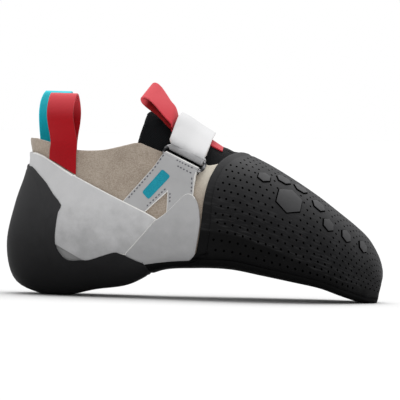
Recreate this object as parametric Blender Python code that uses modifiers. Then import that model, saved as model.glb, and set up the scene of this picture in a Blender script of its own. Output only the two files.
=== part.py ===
"""Climbing shoe for the right foot, with a hollow upper, rubber heel and toe, and an instep strap.

+X runs to the toe, -Y to the outer side, +Z up. The origin is on the floor under the heel.
Every skin is the same fan of ribs, pushed out or in, so that neighbours never cut each other.
"""

import math
from collections import namedtuple

import bmesh
import bpy
from mathutils import Matrix, Vector

MM = 0.001
GAP = 0.3
SEAM = 0.4
WALL = 1.8
PANEL = 1.2
PATCH = 2.0
PAD = 0.9
PAD_ROOT = 0.5
PAD_DEPTH = 14.0
HEEL_RUBBER = 2.9
SOLE_RUBBER = 3.5
INSOLE = 2.0
TONGUE = 3.0
RIBBON = 0.9
STRAP = 1.8
STRAP_LIFT = 2.6
WIRE_RADIUS = 1.1
RING_LIFT = 3.6
RING_LENGTH = 29.0
RING_HEIGHT = 7.4
RING_CORNER = 3.0
RING_AT = (77.6, 88.0)
BAR_SLOPE = Vector((23.2, 0.0, -10.7))
FOLD_OUTER = 2.6
FOLD_INNER = 1.45
FEATHER = 1.46
HOLE = 1.66
OUTER_LOOP_X = 1.7
OUTER_LOOP_LEAN = -0.05
INNER_LOOP_X = -0.8
INNER_LOOP_LEAN = -0.13
HEEL_LOOP_WIDTH = 16.6
LOOP_LEAVES = 94.0
COLLAR_LEAN = -0.04
PATCH_SLIDE = -0.08
NOTCH_HALF = 11.0
NOTCH_X = 106.0
NOTCH_Y = 5.5
NOTCH_LOW = 60.0
NOTCH_TALL = 80.0
SIDE_REACH = 80.0
SIDE_NEAR = 70.0

Rib = namedtuple(
    "Rib",
    "base_x base_z ridge_x ridge_z wide outer_y inner_y base_y ridge_y base_power ridge_power",
)

# Ribs from the ankle, round the heel and along the foot to the toe tip. Each runs from the heel
# or the sole (base) to the instep line (ridge); wide is the share of it where it is broadest.
RIBS = [
    Rib(-21.6, 115.0, 54.0, 128.0, 0.50, -26.0, 26.0, 0.0, 0.0, 2.2, 2.2),
    Rib(-20.6, 98.9, 57.0, 120.5, 0.50, -26.0, 26.0, 0.0, 0.0, 2.2, 2.2),
    Rib(-18.4, 86.2, 59.6, 118.6, 0.49, -26.5, 26.5, 0.0, 0.0, 2.2, 2.2),
    Rib(-20.1, 74.7, 62.2, 117.4, 0.46, -27.2, 27.0, 0.0, 0.0, 2.2, 2.1),
    Rib(-25.7, 56.8, 64.8, 116.4, 0.41, -28.4, 28.0, 0.0, 0.4, 2.2, 2.1),
    Rib(-30.3, 32.5, 67.4, 115.5, 0.36, -29.0, 28.6, 0.0, 0.8, 2.2, 2.0),
    Rib(-26.2, 12.2, 70.2, 114.6, 0.32, -29.4, 28.6, 0.0, 1.2, 2.3, 2.0),
    Rib(-14.1, 4.6, 73.0, 113.6, 0.30, -29.6, 28.2, 0.0, 1.6, 2.5, 2.0),
    Rib(2.4, 2.4, 76.2, 112.2, 0.28, -30.0, 27.6, 0.0, 2.0, 2.7, 2.0),
    Rib(23.3, 7.0, 80.6, 110.2, 0.27, -31.0, 27.2, 0.0, 2.6, 3.0, 2.0),
    Rib(44.1, 10.8, 86.4, 107.2, 0.27, -33.2, 27.2, -0.6, 3.4, 3.6, 2.0),
    Rib(64.2, 21.0, 94.2, 102.8, 0.28, -36.2, 29.0, -1.2, 3.8, 4.2, 2.1),
    Rib(86.4, 23.3, 104.5, 96.4, 0.28, -39.6, 33.0, -1.4, 4.4, 4.4, 2.3),
    Rib(108.6, 23.2, 117.4, 90.6, 0.27, -42.0, 38.2, -1.0, 4.8, 4.4, 2.6),
    Rib(129.1, 19.8, 132.2, 83.6, 0.25, -42.4, 41.6, 0.4, 5.0, 4.4, 2.9),
    Rib(148.3, 16.2, 147.8, 74.6, 0.24, -39.8, 43.6, 2.4, 5.4, 4.2, 3.0),
    Rib(166.2, 12.6, 162.7, 65.0, 0.23, -33.8, 43.0, 5.4, 6.8, 4.0, 3.0),
    Rib(179.0, 8.2, 175.7, 55.5, 0.23, -25.2, 40.4, 9.0, 9.2, 3.7, 2.8),
    Rib(187.3, 5.4, 186.1, 46.9, 0.24, -16.2, 37.0, 12.0, 11.4, 3.4, 2.6),
    Rib(193.1, 3.6, 193.3, 39.5, 0.25, -8.6, 33.6, 13.6, 13.2, 3.2, 2.4),
    Rib(197.4, 3.0, 198.3, 31.7, 0.27, -2.0, 30.2, 14.8, 14.4, 3.0, 2.3),
    Rib(200.3, 3.2, 201.4, 24.8, 0.30, 3.4, 26.6, 15.4, 15.2, 2.7, 2.2),
    Rib(202.0, 4.6, 203.1, 17.3, 0.36, 8.4, 22.6, 15.6, 15.6, 2.4, 2.2),
    Rib(202.8, 7.2, 203.5, 11.2, 0.45, 13.6, 17.8, 15.6, 15.6, 2.2, 2.2),
]

# Rows and columns of the shared grid. A turn is 0 on the ridge, 1 where broadest, 2 at the base;
# it is negative on the outer side. The thin column at the feather edge parts sole and sides.
HEEL_PLACES = [0.0, 1.0, 2.0, 3.0] + [3.0 + 0.6 * step for step in range(1, 10)]
FOOT_PLACES = [9.2, 10.0, 10.8, 11.6, 12.4, 13.2, 14.0, 14.8, 15.6, 16.4, 17.2, 18.0, 18.8, 19.5, 20.2]
PLACES = HEEL_PLACES + FOOT_PLACES + [20.9, 21.6, 22.3, 23.0]
TURNS_UP = [0.0, 0.2, 0.4, 0.57, 0.72, 0.86, 1.0]
TURNS_DOWN = [1.16, 1.32, FEATHER, FEATHER + 0.014, HOLE, 1.82]

# Side outlines as (x, z), each row a point.
COLLAR = [(-34, 101), (-19.5, 98.9), (-8, 96.7), (0.3, 94.1), (8.7, 92.4), (17.6, 92.1), (26.4, 92.7),
          (35.3, 94.5), (42.9, 96.6), (48.8, 98.2)]
THROAT = [(48.8, 98.2), (55.6, 95.8), (64, 92.5), (75, 88.4), (86, 85), (93, 85), (99.7, 87.6),
          (105.3, 91.2), (111, 96)]
HEEL_EDGE = [(-20, 81.1), (-9.2, 71), (-4.9, 64.3), (0, 57.7), (-1.2, 52.9), (-2.2, 42), (-2.2, 33),
             (0.3, 27.2), (5.4, 22.4), (12.6, 22.3), (19.4, 23), (26.8, 25.6), (34.2, 28.2), (37.5, 28.2),
             (42.4, 26.5), (48.6, 23.6), (52.7, 22), (55.4, 19.3), (57.6, 16)]
QUARTER_TOP = [(-34, 91), (-19.2, 89.6), (-14.1, 88.4), (-8.5, 86.1), (-1.2, 82.1), (8.3, 76.6),
               (32.4, 64.6), (54, 54.6), (61.4, 50.5)]
QUARTER_LOW = [(42.7, 28), (42.7, 22), (14.6, 22), (14.6, 23.3), (5.5, 27.2), (-1.9, 32), (-6, 36),
               (-20, 60), (-34, 60)]
SIDE_TOP = [(61.4, 50.8), (67.6, 55.1), (77.1, 65.4), (80.6, 67.2), (84.2, 65.8), (87.2, 60)]
SIDE_REST = [(88.8, 50), (95, 40), (95, 10), (45, 10), (42.9, 28)]
PATCH_REAR = [(111.5, 98), (108.7, 93.5), (102.6, 89.7), (97.4, 83.4), (93.2, 75.2), (90.5, 62.7),
              (89.2, 47.5), (86.6, 28.7), (83.5, 23), (80, 14)]
PATCH_FRONT = [(80, -10), (230, -10), (230, 110), (113, 110)]
BASE_V = [(65.2, 91.9), (88.0, 81.5), (84.1, 76.9), (83.6, 60), (61, 44), (34, 54), (41, 61.5)]
BASE_WINDOW = [(67.2, 67.8), (55.2, 55.6), (52, 50), (70, 50), (71, 58)]
TONGUE_SIDE = [(44, 84), (48.4, 101.6), (53, 120.2), (70, 119), (90, 125), (124, 110), (121, 84),
               (108, 81), (94, 76), (84, 76), (72, 80), (60, 84)]
STRAP_OUTER = [(68.3, 100.2), (74.8, 118.8), (78, 140), (108, 130), (96.4, 105.4), (90.5, 88.8)]
STRAP_INNER = [(62.5, 84), (74.8, 118.8), (78, 140), (108, 130), (96.4, 105.4), (84.5, 72)]

# Raised hexagon pads on the toe rubber.
Pad = namedtuple("Pad", "place turn radius")
PADS = [
    Pad(13.8, -0.40, 4.2), Pad(14.55, -0.12, 4.4), Pad(14.85, -0.53, 9.4), Pad(15.35, -0.14, 4.4),
    Pad(16.05, -0.24, 4.6), Pad(16.5, -0.52, 4.8), Pad(17.5, -0.49, 4.5), Pad(18.9, -0.36, 4.2),
]

# The heel pull loops, up the outside and down the inside, as (distance out of the wall, height).
HEEL_LOOP = [(0.8, 74), (0.8, 82), (0.8, 90), (0.9, 96), (2.4, 104), (5.4, 113), (6.6, 120), (5.6, 126),
             (2.4, 129.3), (-2, 129.6), (-5.4, 126.6), (-6.8, 120), (-6, 112), (-4.2, 104), (-2.9, 97),
             (-2.75, 90), (-2.75, 84)]

# The free end of the tongue ribbon, up from the tongue and back under itself, as the x and z of its
# middle and how far its width leans to the toe.
RIBBON_LOOP = [(70.0, 115.2, 0.17), (66.1, 119.8, 0.22), (60.7, 126.6, 0.33), (57.7, 129.6, 0.40),
               (55.9, 130.8, 0.43), (53.9, 131.2, 0.47), (52.6, 130.2, 0.49), (53.4, 127.6, 0.47),
               (56.8, 124.4, 0.39), (61.0, 121.2, 0.30), (64.6, 117.8, 0.24)]
RIBBON_SEWN = [12.3, 11.7, 11.0, 10.3, 9.6, 8.9, 8.2, 7.5]
RIBBON_DRIFT = 0.036
RIBBON_HALF = 7.5
RIBBON_MIDDLE_Y = -6.4
RIBBON_ACROSS_Y = 0.68
RIBBON_ACROSS_Z = 0.66


def between(before, start, end, after, share):
    """A value on the smooth curve through four neighbours, share of the way from start to end."""
    bend = 2 * before - 5 * start + 4 * end - after
    twist = 3 * (start - end) + after - before
    return start + 0.5 * share * (end - before + share * (bend + share * twist))


def rib_at(place):
    first = min(int(place), len(RIBS) - 2)
    rows = [RIBS[min(max(first + step, 0), len(RIBS) - 1)] for step in (-1, 0, 1, 2)]
    return Rib(*(between(*values, place - first) for values in zip(*rows)))


def surface(place, turn):
    """A point of the upper's outer face, in millimetres."""
    rib = rib_at(min(max(place, 0.0), len(RIBS) - 1.0))
    around = abs(turn)
    side = rib.outer_y if turn < 0 else rib.inner_y
    angle = math.pi / 2 * abs(around - 1)
    power = rib.ridge_power if around < 1 else rib.base_power
    across = math.cos(angle)
    rise = math.sin(angle)
    reach = (abs(across) ** power + abs(rise) ** power) ** (-1 / power)
    if around < 1:
        share = rib.wide + (1 - rib.wide) * reach * rise
        middle = rib.ridge_y
    else:
        share = rib.wide * (1 - reach * rise)
        middle = rib.base_y
    return Vector((
        rib.base_x + share * (rib.ridge_x - rib.base_x),
        middle + (side - middle) * reach * across,
        rib.base_z + share * (rib.ridge_z - rib.base_z),
    ))


def wrapped(turn):
    return turn - 4 if turn > 2 else turn + 4 if turn < -2 else turn


def normal_at(place, turn):
    """The outward direction of the upper's outer face."""
    step = 0.03
    along = surface(place + step, turn) - surface(place - step, turn)
    around = surface(place, wrapped(turn + step)) - surface(place, wrapped(turn - step))
    return around.cross(along).normalized() * -1


def skin(place, turn, offset):
    return surface(place, turn) + normal_at(place, turn) * offset


def locate(x, z, outer=True):
    """The place and turn of the point that the side view shows at x, z."""
    side = -1 if outer else 1
    place = 9.0
    turn = 0.8
    step = 0.01
    for _ in range(40):
        here = surface(place, side * turn)
        by_place = (surface(place + step, side * turn) - here) / step
        by_turn = (surface(place, side * (turn + step)) - here) / step
        miss_x = x - here.x
        miss_z = z - here.z
        area = by_place.x * by_turn.z - by_place.z * by_turn.x
        move_place = (miss_x * by_turn.z - miss_z * by_turn.x) / area
        move_turn = (by_place.x * miss_z - by_place.z * miss_x) / area
        place = min(max(place + max(-1.0, min(1.0, move_place)), 0.2), len(RIBS) - 1.2)
        turn = min(max(turn + max(-0.2, min(0.2, move_turn)), 0.05), 1.95)
    return place, side * turn


def flow(points, steps=3):
    """The points of a smooth curve through the listed ones."""
    last = len(points) - 1
    curve = []
    for index in range(last):
        rows = [points[min(max(index + step, 0), last)] for step in (-1, 0, 1, 2)]
        for part in range(steps):
            curve.append(tuple(between(*values, part / steps) for values in zip(*rows)))
    return curve + [points[last]]


def grown(outline, margin):
    """The outline pushed out by the margin."""
    area = sum(a[0] * b[1] - b[0] * a[1] for a, b in zip(outline, outline[1:] + outline[:1]))
    sense = 1 if area > 0 else -1
    moved = []
    for before, here, after in zip(outline[-1:] + outline[:-1], outline, outline[1:] + outline[:1]):
        first = Vector((here[0] - before[0], here[1] - before[1])).normalized()
        second = Vector((after[0] - here[0], after[1] - here[1])).normalized()
        out = Vector((first.y + second.y, -first.x - second.x)) * sense
        spread = max(out.length_squared / 2, 0.5)
        moved.append((here[0] + out.x * margin / spread, here[1] + out.y * margin / spread))
    return moved


for thing in list(bpy.data.objects):
    bpy.data.objects.remove(thing, do_unlink=True)

shoe = bpy.data.collections.new("climbing_shoe")
cutters = bpy.data.collections.new("cutters")
bpy.context.scene.collection.children.link(shoe)
bpy.context.scene.collection.children.link(cutters)


def finish_mesh(name, mesh, collection):
    data = bpy.data.meshes.new(name)
    mesh.to_mesh(data)
    mesh.free()
    made = bpy.data.objects.new(name, data)
    collection.objects.link(made)
    return made


def paint(made, colour, roughness, metallic=0.0):
    material = bpy.data.materials.new(made.name)
    material.use_nodes = True
    shader = material.node_tree.nodes["Principled BSDF"]
    shader.inputs["Base Color"].default_value = (*colour, 1.0)
    shader.inputs["Roughness"].default_value = roughness
    shader.inputs["Metallic"].default_value = metallic
    made.data.materials.append(material)


def as_cutter(made):
    made.hide_render = True
    made.display_type = "WIRE"
    return made


def prism(name, outline, y_from=-SIDE_REACH, y_to=SIDE_REACH, lean=0.0, slide=0.0, level_y=-26.0):
    """A side outline drawn through the shoe; lean and slide shift it in z and x across the foot."""
    mesh = bmesh.new()
    near = [
        mesh.verts.new(Vector((x + slide * (y_from - level_y), y_from, z + lean * (y_from - level_y))) * MM)
        for x, z in outline
    ]
    face = mesh.faces.new(near)
    made = bmesh.ops.extrude_face_region(mesh, geom=[face])["geom"]
    far = [item for item in made if isinstance(item, bmesh.types.BMVert)]
    width = y_to - y_from
    bmesh.ops.translate(mesh, verts=far, vec=Vector((slide * width, width, lean * width)) * MM)
    bmesh.ops.recalc_face_normals(mesh, faces=mesh.faces)
    return as_cutter(finish_mesh(name, mesh, cutters))


def sheet(name, offset, keep, collection=None):
    """The kept cells of the shared grid, as an open sheet at an offset from the upper's outer face."""
    turns = [-turn for turn in reversed(TURNS_UP[1:] + TURNS_DOWN)]
    turns = [2.0] + turns + TURNS_UP + TURNS_DOWN
    lift = offset if callable(offset) else lambda place, turn: offset
    mesh = bmesh.new()
    rings = [
        [mesh.verts.new(skin(place, turn, lift(place, turn)) * MM) for turn in turns] for place in PLACES
    ]
    count = len(turns)
    for row in range(len(PLACES) - 1):
        for column in range(count):
            following = (column + 1) % count
            start = -2.0 if column == 0 else turns[column]
            end = 2.0 if following == 0 else turns[following]
            if keep((PLACES[row] + PLACES[row + 1]) / 2, (start + end) / 2):
                mesh.faces.new((
                    rings[row][column],
                    rings[row + 1][column],
                    rings[row + 1][following],
                    rings[row][following],
                ))
    if keep(PLACES[-1], 0.0) and keep(PLACES[-1], 1.9):
        mesh.faces.new(reversed(rings[-1]))
    spare = [vert for vert in mesh.verts if not vert.link_faces]
    bmesh.ops.delete(mesh, geom=spare, context="VERTS")
    bmesh.ops.triangulate(mesh, faces=mesh.faces, quad_method="FIXED")
    return finish_mesh(name, mesh, collection or shoe)


def thicken(made, depth, side):
    solidify = made.modifiers.new("thickness", "SOLIDIFY")
    solidify.thickness = depth * MM
    solidify.offset = side
    solidify.use_even_offset = True
    solidify.use_quality_normals = True
    return made


def cut(made, operation, *tools):
    for tool in tools:
        boolean = made.modifiers.new(tool.name, "BOOLEAN")
        boolean.operation = operation
        boolean.solver = "EXACT"
        boolean.object = tool
    return made


def box(name, low, high):
    mesh = bmesh.new()
    bmesh.ops.create_cube(mesh, size=1.0)
    size = Vector(high) - Vector(low)
    bmesh.ops.scale(mesh, vec=size * MM, verts=mesh.verts)
    bmesh.ops.translate(mesh, vec=(Vector(low) + size / 2) * MM, verts=mesh.verts)
    return as_cutter(finish_mesh(name, mesh, cutters))


def rod(name, middle, direction, radius, length, sides=16):
    """A round bar along a direction, used for the folds at the ring."""
    mesh = bmesh.new()
    bmesh.ops.create_cone(
        mesh, cap_ends=True, segments=sides, radius1=radius * MM, radius2=radius * MM, depth=length * MM
    )
    turned = Vector((0, 0, 1)).rotation_difference(direction).to_matrix()
    bmesh.ops.rotate(mesh, verts=mesh.verts, matrix=turned)
    bmesh.ops.translate(mesh, verts=mesh.verts, vec=middle * MM)
    return as_cutter(finish_mesh(name, mesh, cutters))


def ribbon(name, rows, depth):
    """A woven ribbon through rows of points, as a sheet with thickness about its middle."""
    mesh = bmesh.new()
    grid = [[mesh.verts.new(point * MM) for point in row] for row in rows]
    for first, second in zip(grid, grid[1:]):
        for column in range(len(first) - 1):
            mesh.faces.new((first[column], first[column + 1], second[column + 1], second[column]))
    bmesh.ops.recalc_face_normals(mesh, faces=mesh.faces)
    return thicken(finish_mesh(name, mesh, shoe), depth, 0.0)


heel_outline = flow(HEEL_EDGE, 2) + [(57.6, -10), (-50, -10), (-50, 85), (-34, 85)]
quarter_outline = flow(QUARTER_TOP, 2) + QUARTER_LOW
side_outline = flow(SIDE_TOP, 2) + SIDE_REST
patch_outline = flow(PATCH_REAR, 3) + PATCH_FRONT
opening = flow(COLLAR, 2)[:-1] + flow(THROAT, 2) + [(111, 160), (-34, 160)]

floor_cut = box("floor_cut", (-60, -90, -30), (230, 90, 0))
opening_cut = prism("opening_cut", opening, lean=COLLAR_LEAN)
heel_keep = prism("heel_keep", heel_outline)
heel_clear = prism("heel_clear", grown(heel_outline, SEAM))
quarter_keep = prism("quarter_keep", quarter_outline, -SIDE_NEAR, SIDE_NEAR)
quarter_clear = prism("quarter_clear", grown(quarter_outline, SEAM))
side_outer_keep = prism("side_outer_keep", side_outline, -SIDE_NEAR, 0.0)
side_inner_keep = prism("side_inner_keep", side_outline, 0.0, SIDE_NEAR)
side_clear = prism("side_clear", grown(side_outline, SEAM), y_to=0.0)
patch_keep = prism("patch_keep", patch_outline, slide=PATCH_SLIDE)
patch_clear = prism("patch_clear", grown(patch_outline, SEAM), slide=PATCH_SLIDE)

# The notch between the two lobes of the toe rubber, a block with a round front end.
notch = box(
    "notch", (60, NOTCH_Y - NOTCH_HALF, NOTCH_LOW), (NOTCH_X, NOTCH_Y + NOTCH_HALF, NOTCH_LOW + NOTCH_TALL)
)
notch_middle = Vector((NOTCH_X, NOTCH_Y, NOTCH_LOW + NOTCH_TALL / 2))
notch_end = rod("notch_end", notch_middle, Vector((0, 0, 1)), NOTCH_HALF, NOTCH_TALL, sides=20)

# Upper, insole and outsole
upper = sheet("upper", 0.0, lambda place, turn: abs(turn) < HOLE or place < 7.2 or place > 21.2)
thicken(upper, WALL, -1.0)
cut(upper, "DIFFERENCE", opening_cut, notch, notch_end)
paint(upper, (0.44, 0.39, 0.34), 0.9)

insole = sheet("insole", -WALL - GAP, lambda place, turn: abs(turn) > FEATHER and 7.2 < place < 20.6)
thicken(insole, INSOLE, -1.0)
paint(insole, (0.30, 0.30, 0.30), 0.9)

outsole = sheet("outsole", GAP, lambda place, turn: abs(turn) > FEATHER + 0.01 and place > 9.0)
thicken(outsole, SOLE_RUBBER, 1.0)
cut(outsole, "DIFFERENCE", heel_clear, floor_cut)
paint(outsole, (0.03, 0.03, 0.03), 0.6)

# Heel and toe rubber
heel_cup = sheet("heel_cup", GAP, lambda place, turn: abs(turn) > 0.6 and 1.0 < place < 11.5)
thicken(heel_cup, HEEL_RUBBER, 1.0)
cut(heel_cup, "INTERSECT", heel_keep)
cut(heel_cup, "DIFFERENCE", floor_cut)
paint(heel_cup, (0.03, 0.03, 0.03), 0.6)


pads = sheet(
    "pads", GAP + PATCH - PAD_ROOT, lambda place, turn: -1.0 < turn < 0.6 and 11.0 < place < 21.5, cutters
)
thicken(pads, PAD + PAD_ROOT, 1.0)
pad_shapes = bmesh.new()
for pad in PADS:
    upright = Vector((0, 0, 1)).rotation_difference(normal_at(pad.place, pad.turn)).to_matrix().to_4x4()
    bmesh.ops.create_cone(
        pad_shapes,
        cap_ends=True,
        segments=6,
        radius1=pad.radius * MM,
        radius2=pad.radius * MM,
        depth=PAD_DEPTH * MM,
        matrix=Matrix.Translation(surface(pad.place, pad.turn) * MM) @ upright,
    )
pad_keep = as_cutter(finish_mesh("pad_keep", pad_shapes, cutters))
as_cutter(cut(pads, "INTERSECT", pad_keep))

toe_patch = sheet(
    "toe_patch", GAP, lambda place, turn: place > 9.5 and (abs(turn) < FEATHER or place > 22.9)
)
thicken(toe_patch, PATCH, 1.0)
cut(toe_patch, "INTERSECT", patch_keep)
cut(toe_patch, "DIFFERENCE", notch, notch_end)
cut(toe_patch, "UNION", pads)
paint(toe_patch, (0.03, 0.03, 0.03), 0.6)

# Grey panels
quarter_panel = sheet("quarter_panel", GAP, lambda place, turn: abs(turn) > 0.3 and 0.5 < place < 12.5)
thicken(quarter_panel, PANEL, 1.0)
cut(quarter_keep, "DIFFERENCE", heel_clear)
cut(quarter_panel, "INTERSECT", quarter_keep)
paint(quarter_panel, (0.48, 0.48, 0.48), 0.8)

for name, keep in (("side_panel_outer", side_outer_keep), ("side_panel_inner", side_inner_keep)):
    panel = sheet(name, GAP, lambda place, turn: 0.3 < abs(turn) < FEATHER and 8.0 < place < 13.5)
    thicken(panel, PANEL, 1.0)
    cut(keep, "DIFFERENCE", heel_clear, quarter_clear, patch_clear)
    cut(panel, "INTERSECT", keep)
    paint(panel, (0.48, 0.48, 0.48), 0.8)

# Ring, with its two bars along the strap's end
ring_place, ring_turn = locate(*RING_AT)
ring_normal = normal_at(ring_place, ring_turn)
ring_middle = skin(ring_place, ring_turn, RING_LIFT)
bar_way = (BAR_SLOPE - ring_normal * BAR_SLOPE.dot(ring_normal)).normalized()
rise_way = ring_normal.cross(bar_way).normalized()
rise_way = rise_way if rise_way.z > 0 else -rise_way
half_bar = RING_LENGTH / 2
half_rise = RING_HEIGHT / 2
ring_path = []
for sign_along, sign_rise, turn_start in ((1, 1, 0), (-1, 1, 90), (-1, -1, 180), (1, -1, 270)):
    for step in range(4):
        angle = math.radians(turn_start + 30 * step)
        along = sign_along * (half_bar - RING_CORNER) + RING_CORNER * math.cos(angle)
        across = sign_rise * (half_rise - RING_CORNER) + RING_CORNER * math.sin(angle)
        ring_path.append(ring_middle + bar_way * along + rise_way * across)
wire = bpy.data.curves.new("ring", "CURVE")
wire.dimensions = "3D"
wire.bevel_depth = WIRE_RADIUS * MM
wire.bevel_resolution = 2
spline = wire.splines.new("POLY")
spline.points.add(len(ring_path) - 1)
for point, place in zip(spline.points, ring_path):
    point.co = (*(place * MM), 1.0)
spline.use_cyclic_u = True
ring = bpy.data.objects.new("ring", wire)
shoe.objects.link(ring)
paint(ring, (0.10, 0.10, 0.11), 0.3, 1.0)

# Strap base, an inverted V folded round the ring's lower bar
lower_bar = ring_middle - rise_way * half_rise
upper_bar = ring_middle + rise_way * half_rise
fold_length = RING_LENGTH - 2 * RING_CORNER - 2 * GAP
bore_length = fold_length + 2 * FOLD_INNER + 2 * FOLD_OUTER
base_fold = rod("base_fold", lower_bar, bar_way, FOLD_OUTER, fold_length)
base_bore = rod("base_bore", lower_bar, bar_way, FOLD_INNER, bore_length)
strap_fold = rod("strap_fold", upper_bar, bar_way, FOLD_OUTER, fold_length)
strap_bore = rod("strap_bore", upper_bar, bar_way, FOLD_INNER, bore_length)

strap_base = sheet("strap_base", GAP, lambda place, turn: -1.2 < turn < -0.1 and 5.0 < place < 14.0)
thicken(strap_base, PANEL, 1.0)
base_keep = prism("base_keep", BASE_V, -SIDE_NEAR, -2.0)
cut(base_keep, "DIFFERENCE", prism("base_window", BASE_WINDOW), quarter_clear, side_clear)
cut(strap_base, "INTERSECT", base_keep)
cut(strap_base, "UNION", base_fold)
cut(strap_base, "DIFFERENCE", base_bore)
paint(strap_base, (0.48, 0.48, 0.48), 0.8)

# Tongue and its ribbon
tongue = sheet("tongue", -WALL - GAP, lambda place, turn: abs(turn) < 0.88 and 0.5 < place < 15.0)
thicken(tongue, TONGUE, -1.0)
cut(tongue, "INTERSECT", prism("tongue_keep", TONGUE_SIDE))
paint(tongue, (0.03, 0.03, 0.03), 0.9)


def sewn_row(place):
    """A row of the ribbon where it lies on the tongue, drifting to the outer side of the ridge."""
    lift = RIBBON / 2 - WALL
    middle = RIBBON_DRIFT * (place - RIBBON_SEWN[0]) - 0.001
    across = skin(place, middle + 0.05, lift) - skin(place, middle - 0.05, lift)
    reach = RIBBON_HALF * 0.1 / across.length
    return [skin(place, middle + reach * share, lift) for share in (-1, -0.5, 0, 0.5, 1)]


ribbon_rows = [sewn_row(place) for place in RIBBON_SEWN]
for x, z, lean in RIBBON_LOOP:
    middle = Vector((x, RIBBON_MIDDLE_Y, z))
    across = Vector((lean, RIBBON_ACROSS_Y, RIBBON_ACROSS_Z)).normalized() * RIBBON_HALF
    ribbon_rows.append([middle + across * share for share in (-1, -0.5, 0, 0.5, 1)])
tongue_ribbon = ribbon("tongue_ribbon", ribbon_rows, RIBBON)
paint(tongue_ribbon, (0.5, 0.01, 0.02), 0.8)


# Strap over the instep, close to the inner side and lifted over the ring
def strap_lift(place, turn):
    share = min(max((0.6 - turn) / 0.9, 0.0), 1.0)
    return GAP + (STRAP_LIFT - GAP) * share * share * (3 - 2 * share)


strap = sheet("strap", strap_lift, lambda place, turn: -0.95 < turn < 1.1 and 5.0 < place < 14.0)
thicken(strap, STRAP, 1.0)
strap_outer = prism("strap_outer", STRAP_OUTER, y_to=4.0)
strap_inner = prism("strap_inner", STRAP_INNER, y_from=2.0)
cut(strap_outer, "UNION", strap_inner)
cut(strap, "INTERSECT", strap_outer)
cut(strap, "UNION", strap_fold)
cut(strap, "DIFFERENCE", strap_bore)
paint(strap, (0.8, 0.8, 0.8), 0.7)


def heel_loop(name, outer, middle_x, lean, colour):
    """A pull loop sewn outside and inside the collar, following its curve across the ribbon."""
    rows = []
    for out, z in HEEL_LOOP:
        row = []
        for share in (-0.5, -0.25, 0.0, 0.25, 0.5):
            x = middle_x + HEEL_LOOP_WIDTH * share
            place, turn = locate(x, min(z, LOOP_LEAVES), outer)
            wall = surface(place, turn)
            way = normal_at(place, turn)
            level = Vector((way.x, way.y, 0.0)).normalized()
            height = z - wall.z if z > LOOP_LEAVES else 0.0
            row.append(wall + level * out + Vector((lean * height, 0.0, height)))
        rows.append(row)
    made = ribbon(name, rows, RIBBON)
    cut(made, "DIFFERENCE", quarter_clear)
    paint(made, colour, 0.8)


heel_loop("pull_loop_outer", True, OUTER_LOOP_X, OUTER_LOOP_LEAN, (0.5, 0.01, 0.02))
heel_loop("pull_loop_inner", False, INNER_LOOP_X, INNER_LOOP_LEAN, (0.0, 0.28, 0.36))
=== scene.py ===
"""Looks of a climbing shoe for the right foot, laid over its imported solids.

Sizes are in millimetres until a mesh is laid. +X runs to the toe, -Y to the outer side, +Z up.
"""

import math
from bisect import bisect_right
from collections import namedtuple
from functools import lru_cache

import bmesh
import bpy
from mathutils import Matrix, Vector


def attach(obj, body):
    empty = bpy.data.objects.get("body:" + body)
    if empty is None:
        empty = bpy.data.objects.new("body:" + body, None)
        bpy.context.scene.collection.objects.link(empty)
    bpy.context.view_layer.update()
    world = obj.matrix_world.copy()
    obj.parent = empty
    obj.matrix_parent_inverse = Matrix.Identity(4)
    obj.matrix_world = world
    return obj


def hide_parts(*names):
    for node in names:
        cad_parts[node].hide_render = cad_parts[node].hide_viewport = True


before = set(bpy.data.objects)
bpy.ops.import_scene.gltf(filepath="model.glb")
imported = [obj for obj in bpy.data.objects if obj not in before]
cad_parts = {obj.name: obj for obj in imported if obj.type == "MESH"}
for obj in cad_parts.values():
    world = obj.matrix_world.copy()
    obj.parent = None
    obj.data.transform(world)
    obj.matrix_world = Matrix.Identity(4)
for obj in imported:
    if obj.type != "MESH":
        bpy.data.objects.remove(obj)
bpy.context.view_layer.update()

MM = 0.001
GAP = 0.3
SEAM = 0.4
WALL = 1.8
PANEL = 1.2
PATCH = 2.0
PAD = 0.9
HEEL_RUBBER = 2.9
SOLE_RUBBER = 3.5
INSOLE = 2.0
TONGUE = 3.0
RIBBON = 0.9
STRAP = 1.8
STRAP_LIFT = 2.6
WIRE_RADIUS = 1.1
RING_LIFT = 3.6
RING_LENGTH = 29.0
RING_HEIGHT = 7.4
RING_CORNER = 3.0
RING_AT = (77.7, 88.8)
BAR_SLOPE = Vector((23.2, 0.0, -10.7))
FOLD_OUTER = 2.6
FOLD_INNER = 1.45
FEATHER = 1.46
HOLE = 1.66
COLLAR_LEAN = -0.04
PATCH_SLIDE = -0.08
LEVEL_Y = -26.0
SOLE_FRONT = 203.0
PATCH_FRONT = 202.7
TOE_SLANT = 0.23

# How finely places are searched, cuts are made and points are merged
TRIES = 40
HEEL_PLACE = 6.0
FOOT_PLACE = 7.0
MIDDLE_PLACE = 9.0
MIDDLE_TURN = 0.8
CUT_SLACK = 0.0005
MERGE = 0.00002
TINY = 1e-9

Rib =namedtuple(
    "Rib",
    "base_x base_z ridge_x ridge_z wide outer_y inner_y base_y ridge_y base_power ridge_power",
)

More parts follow.
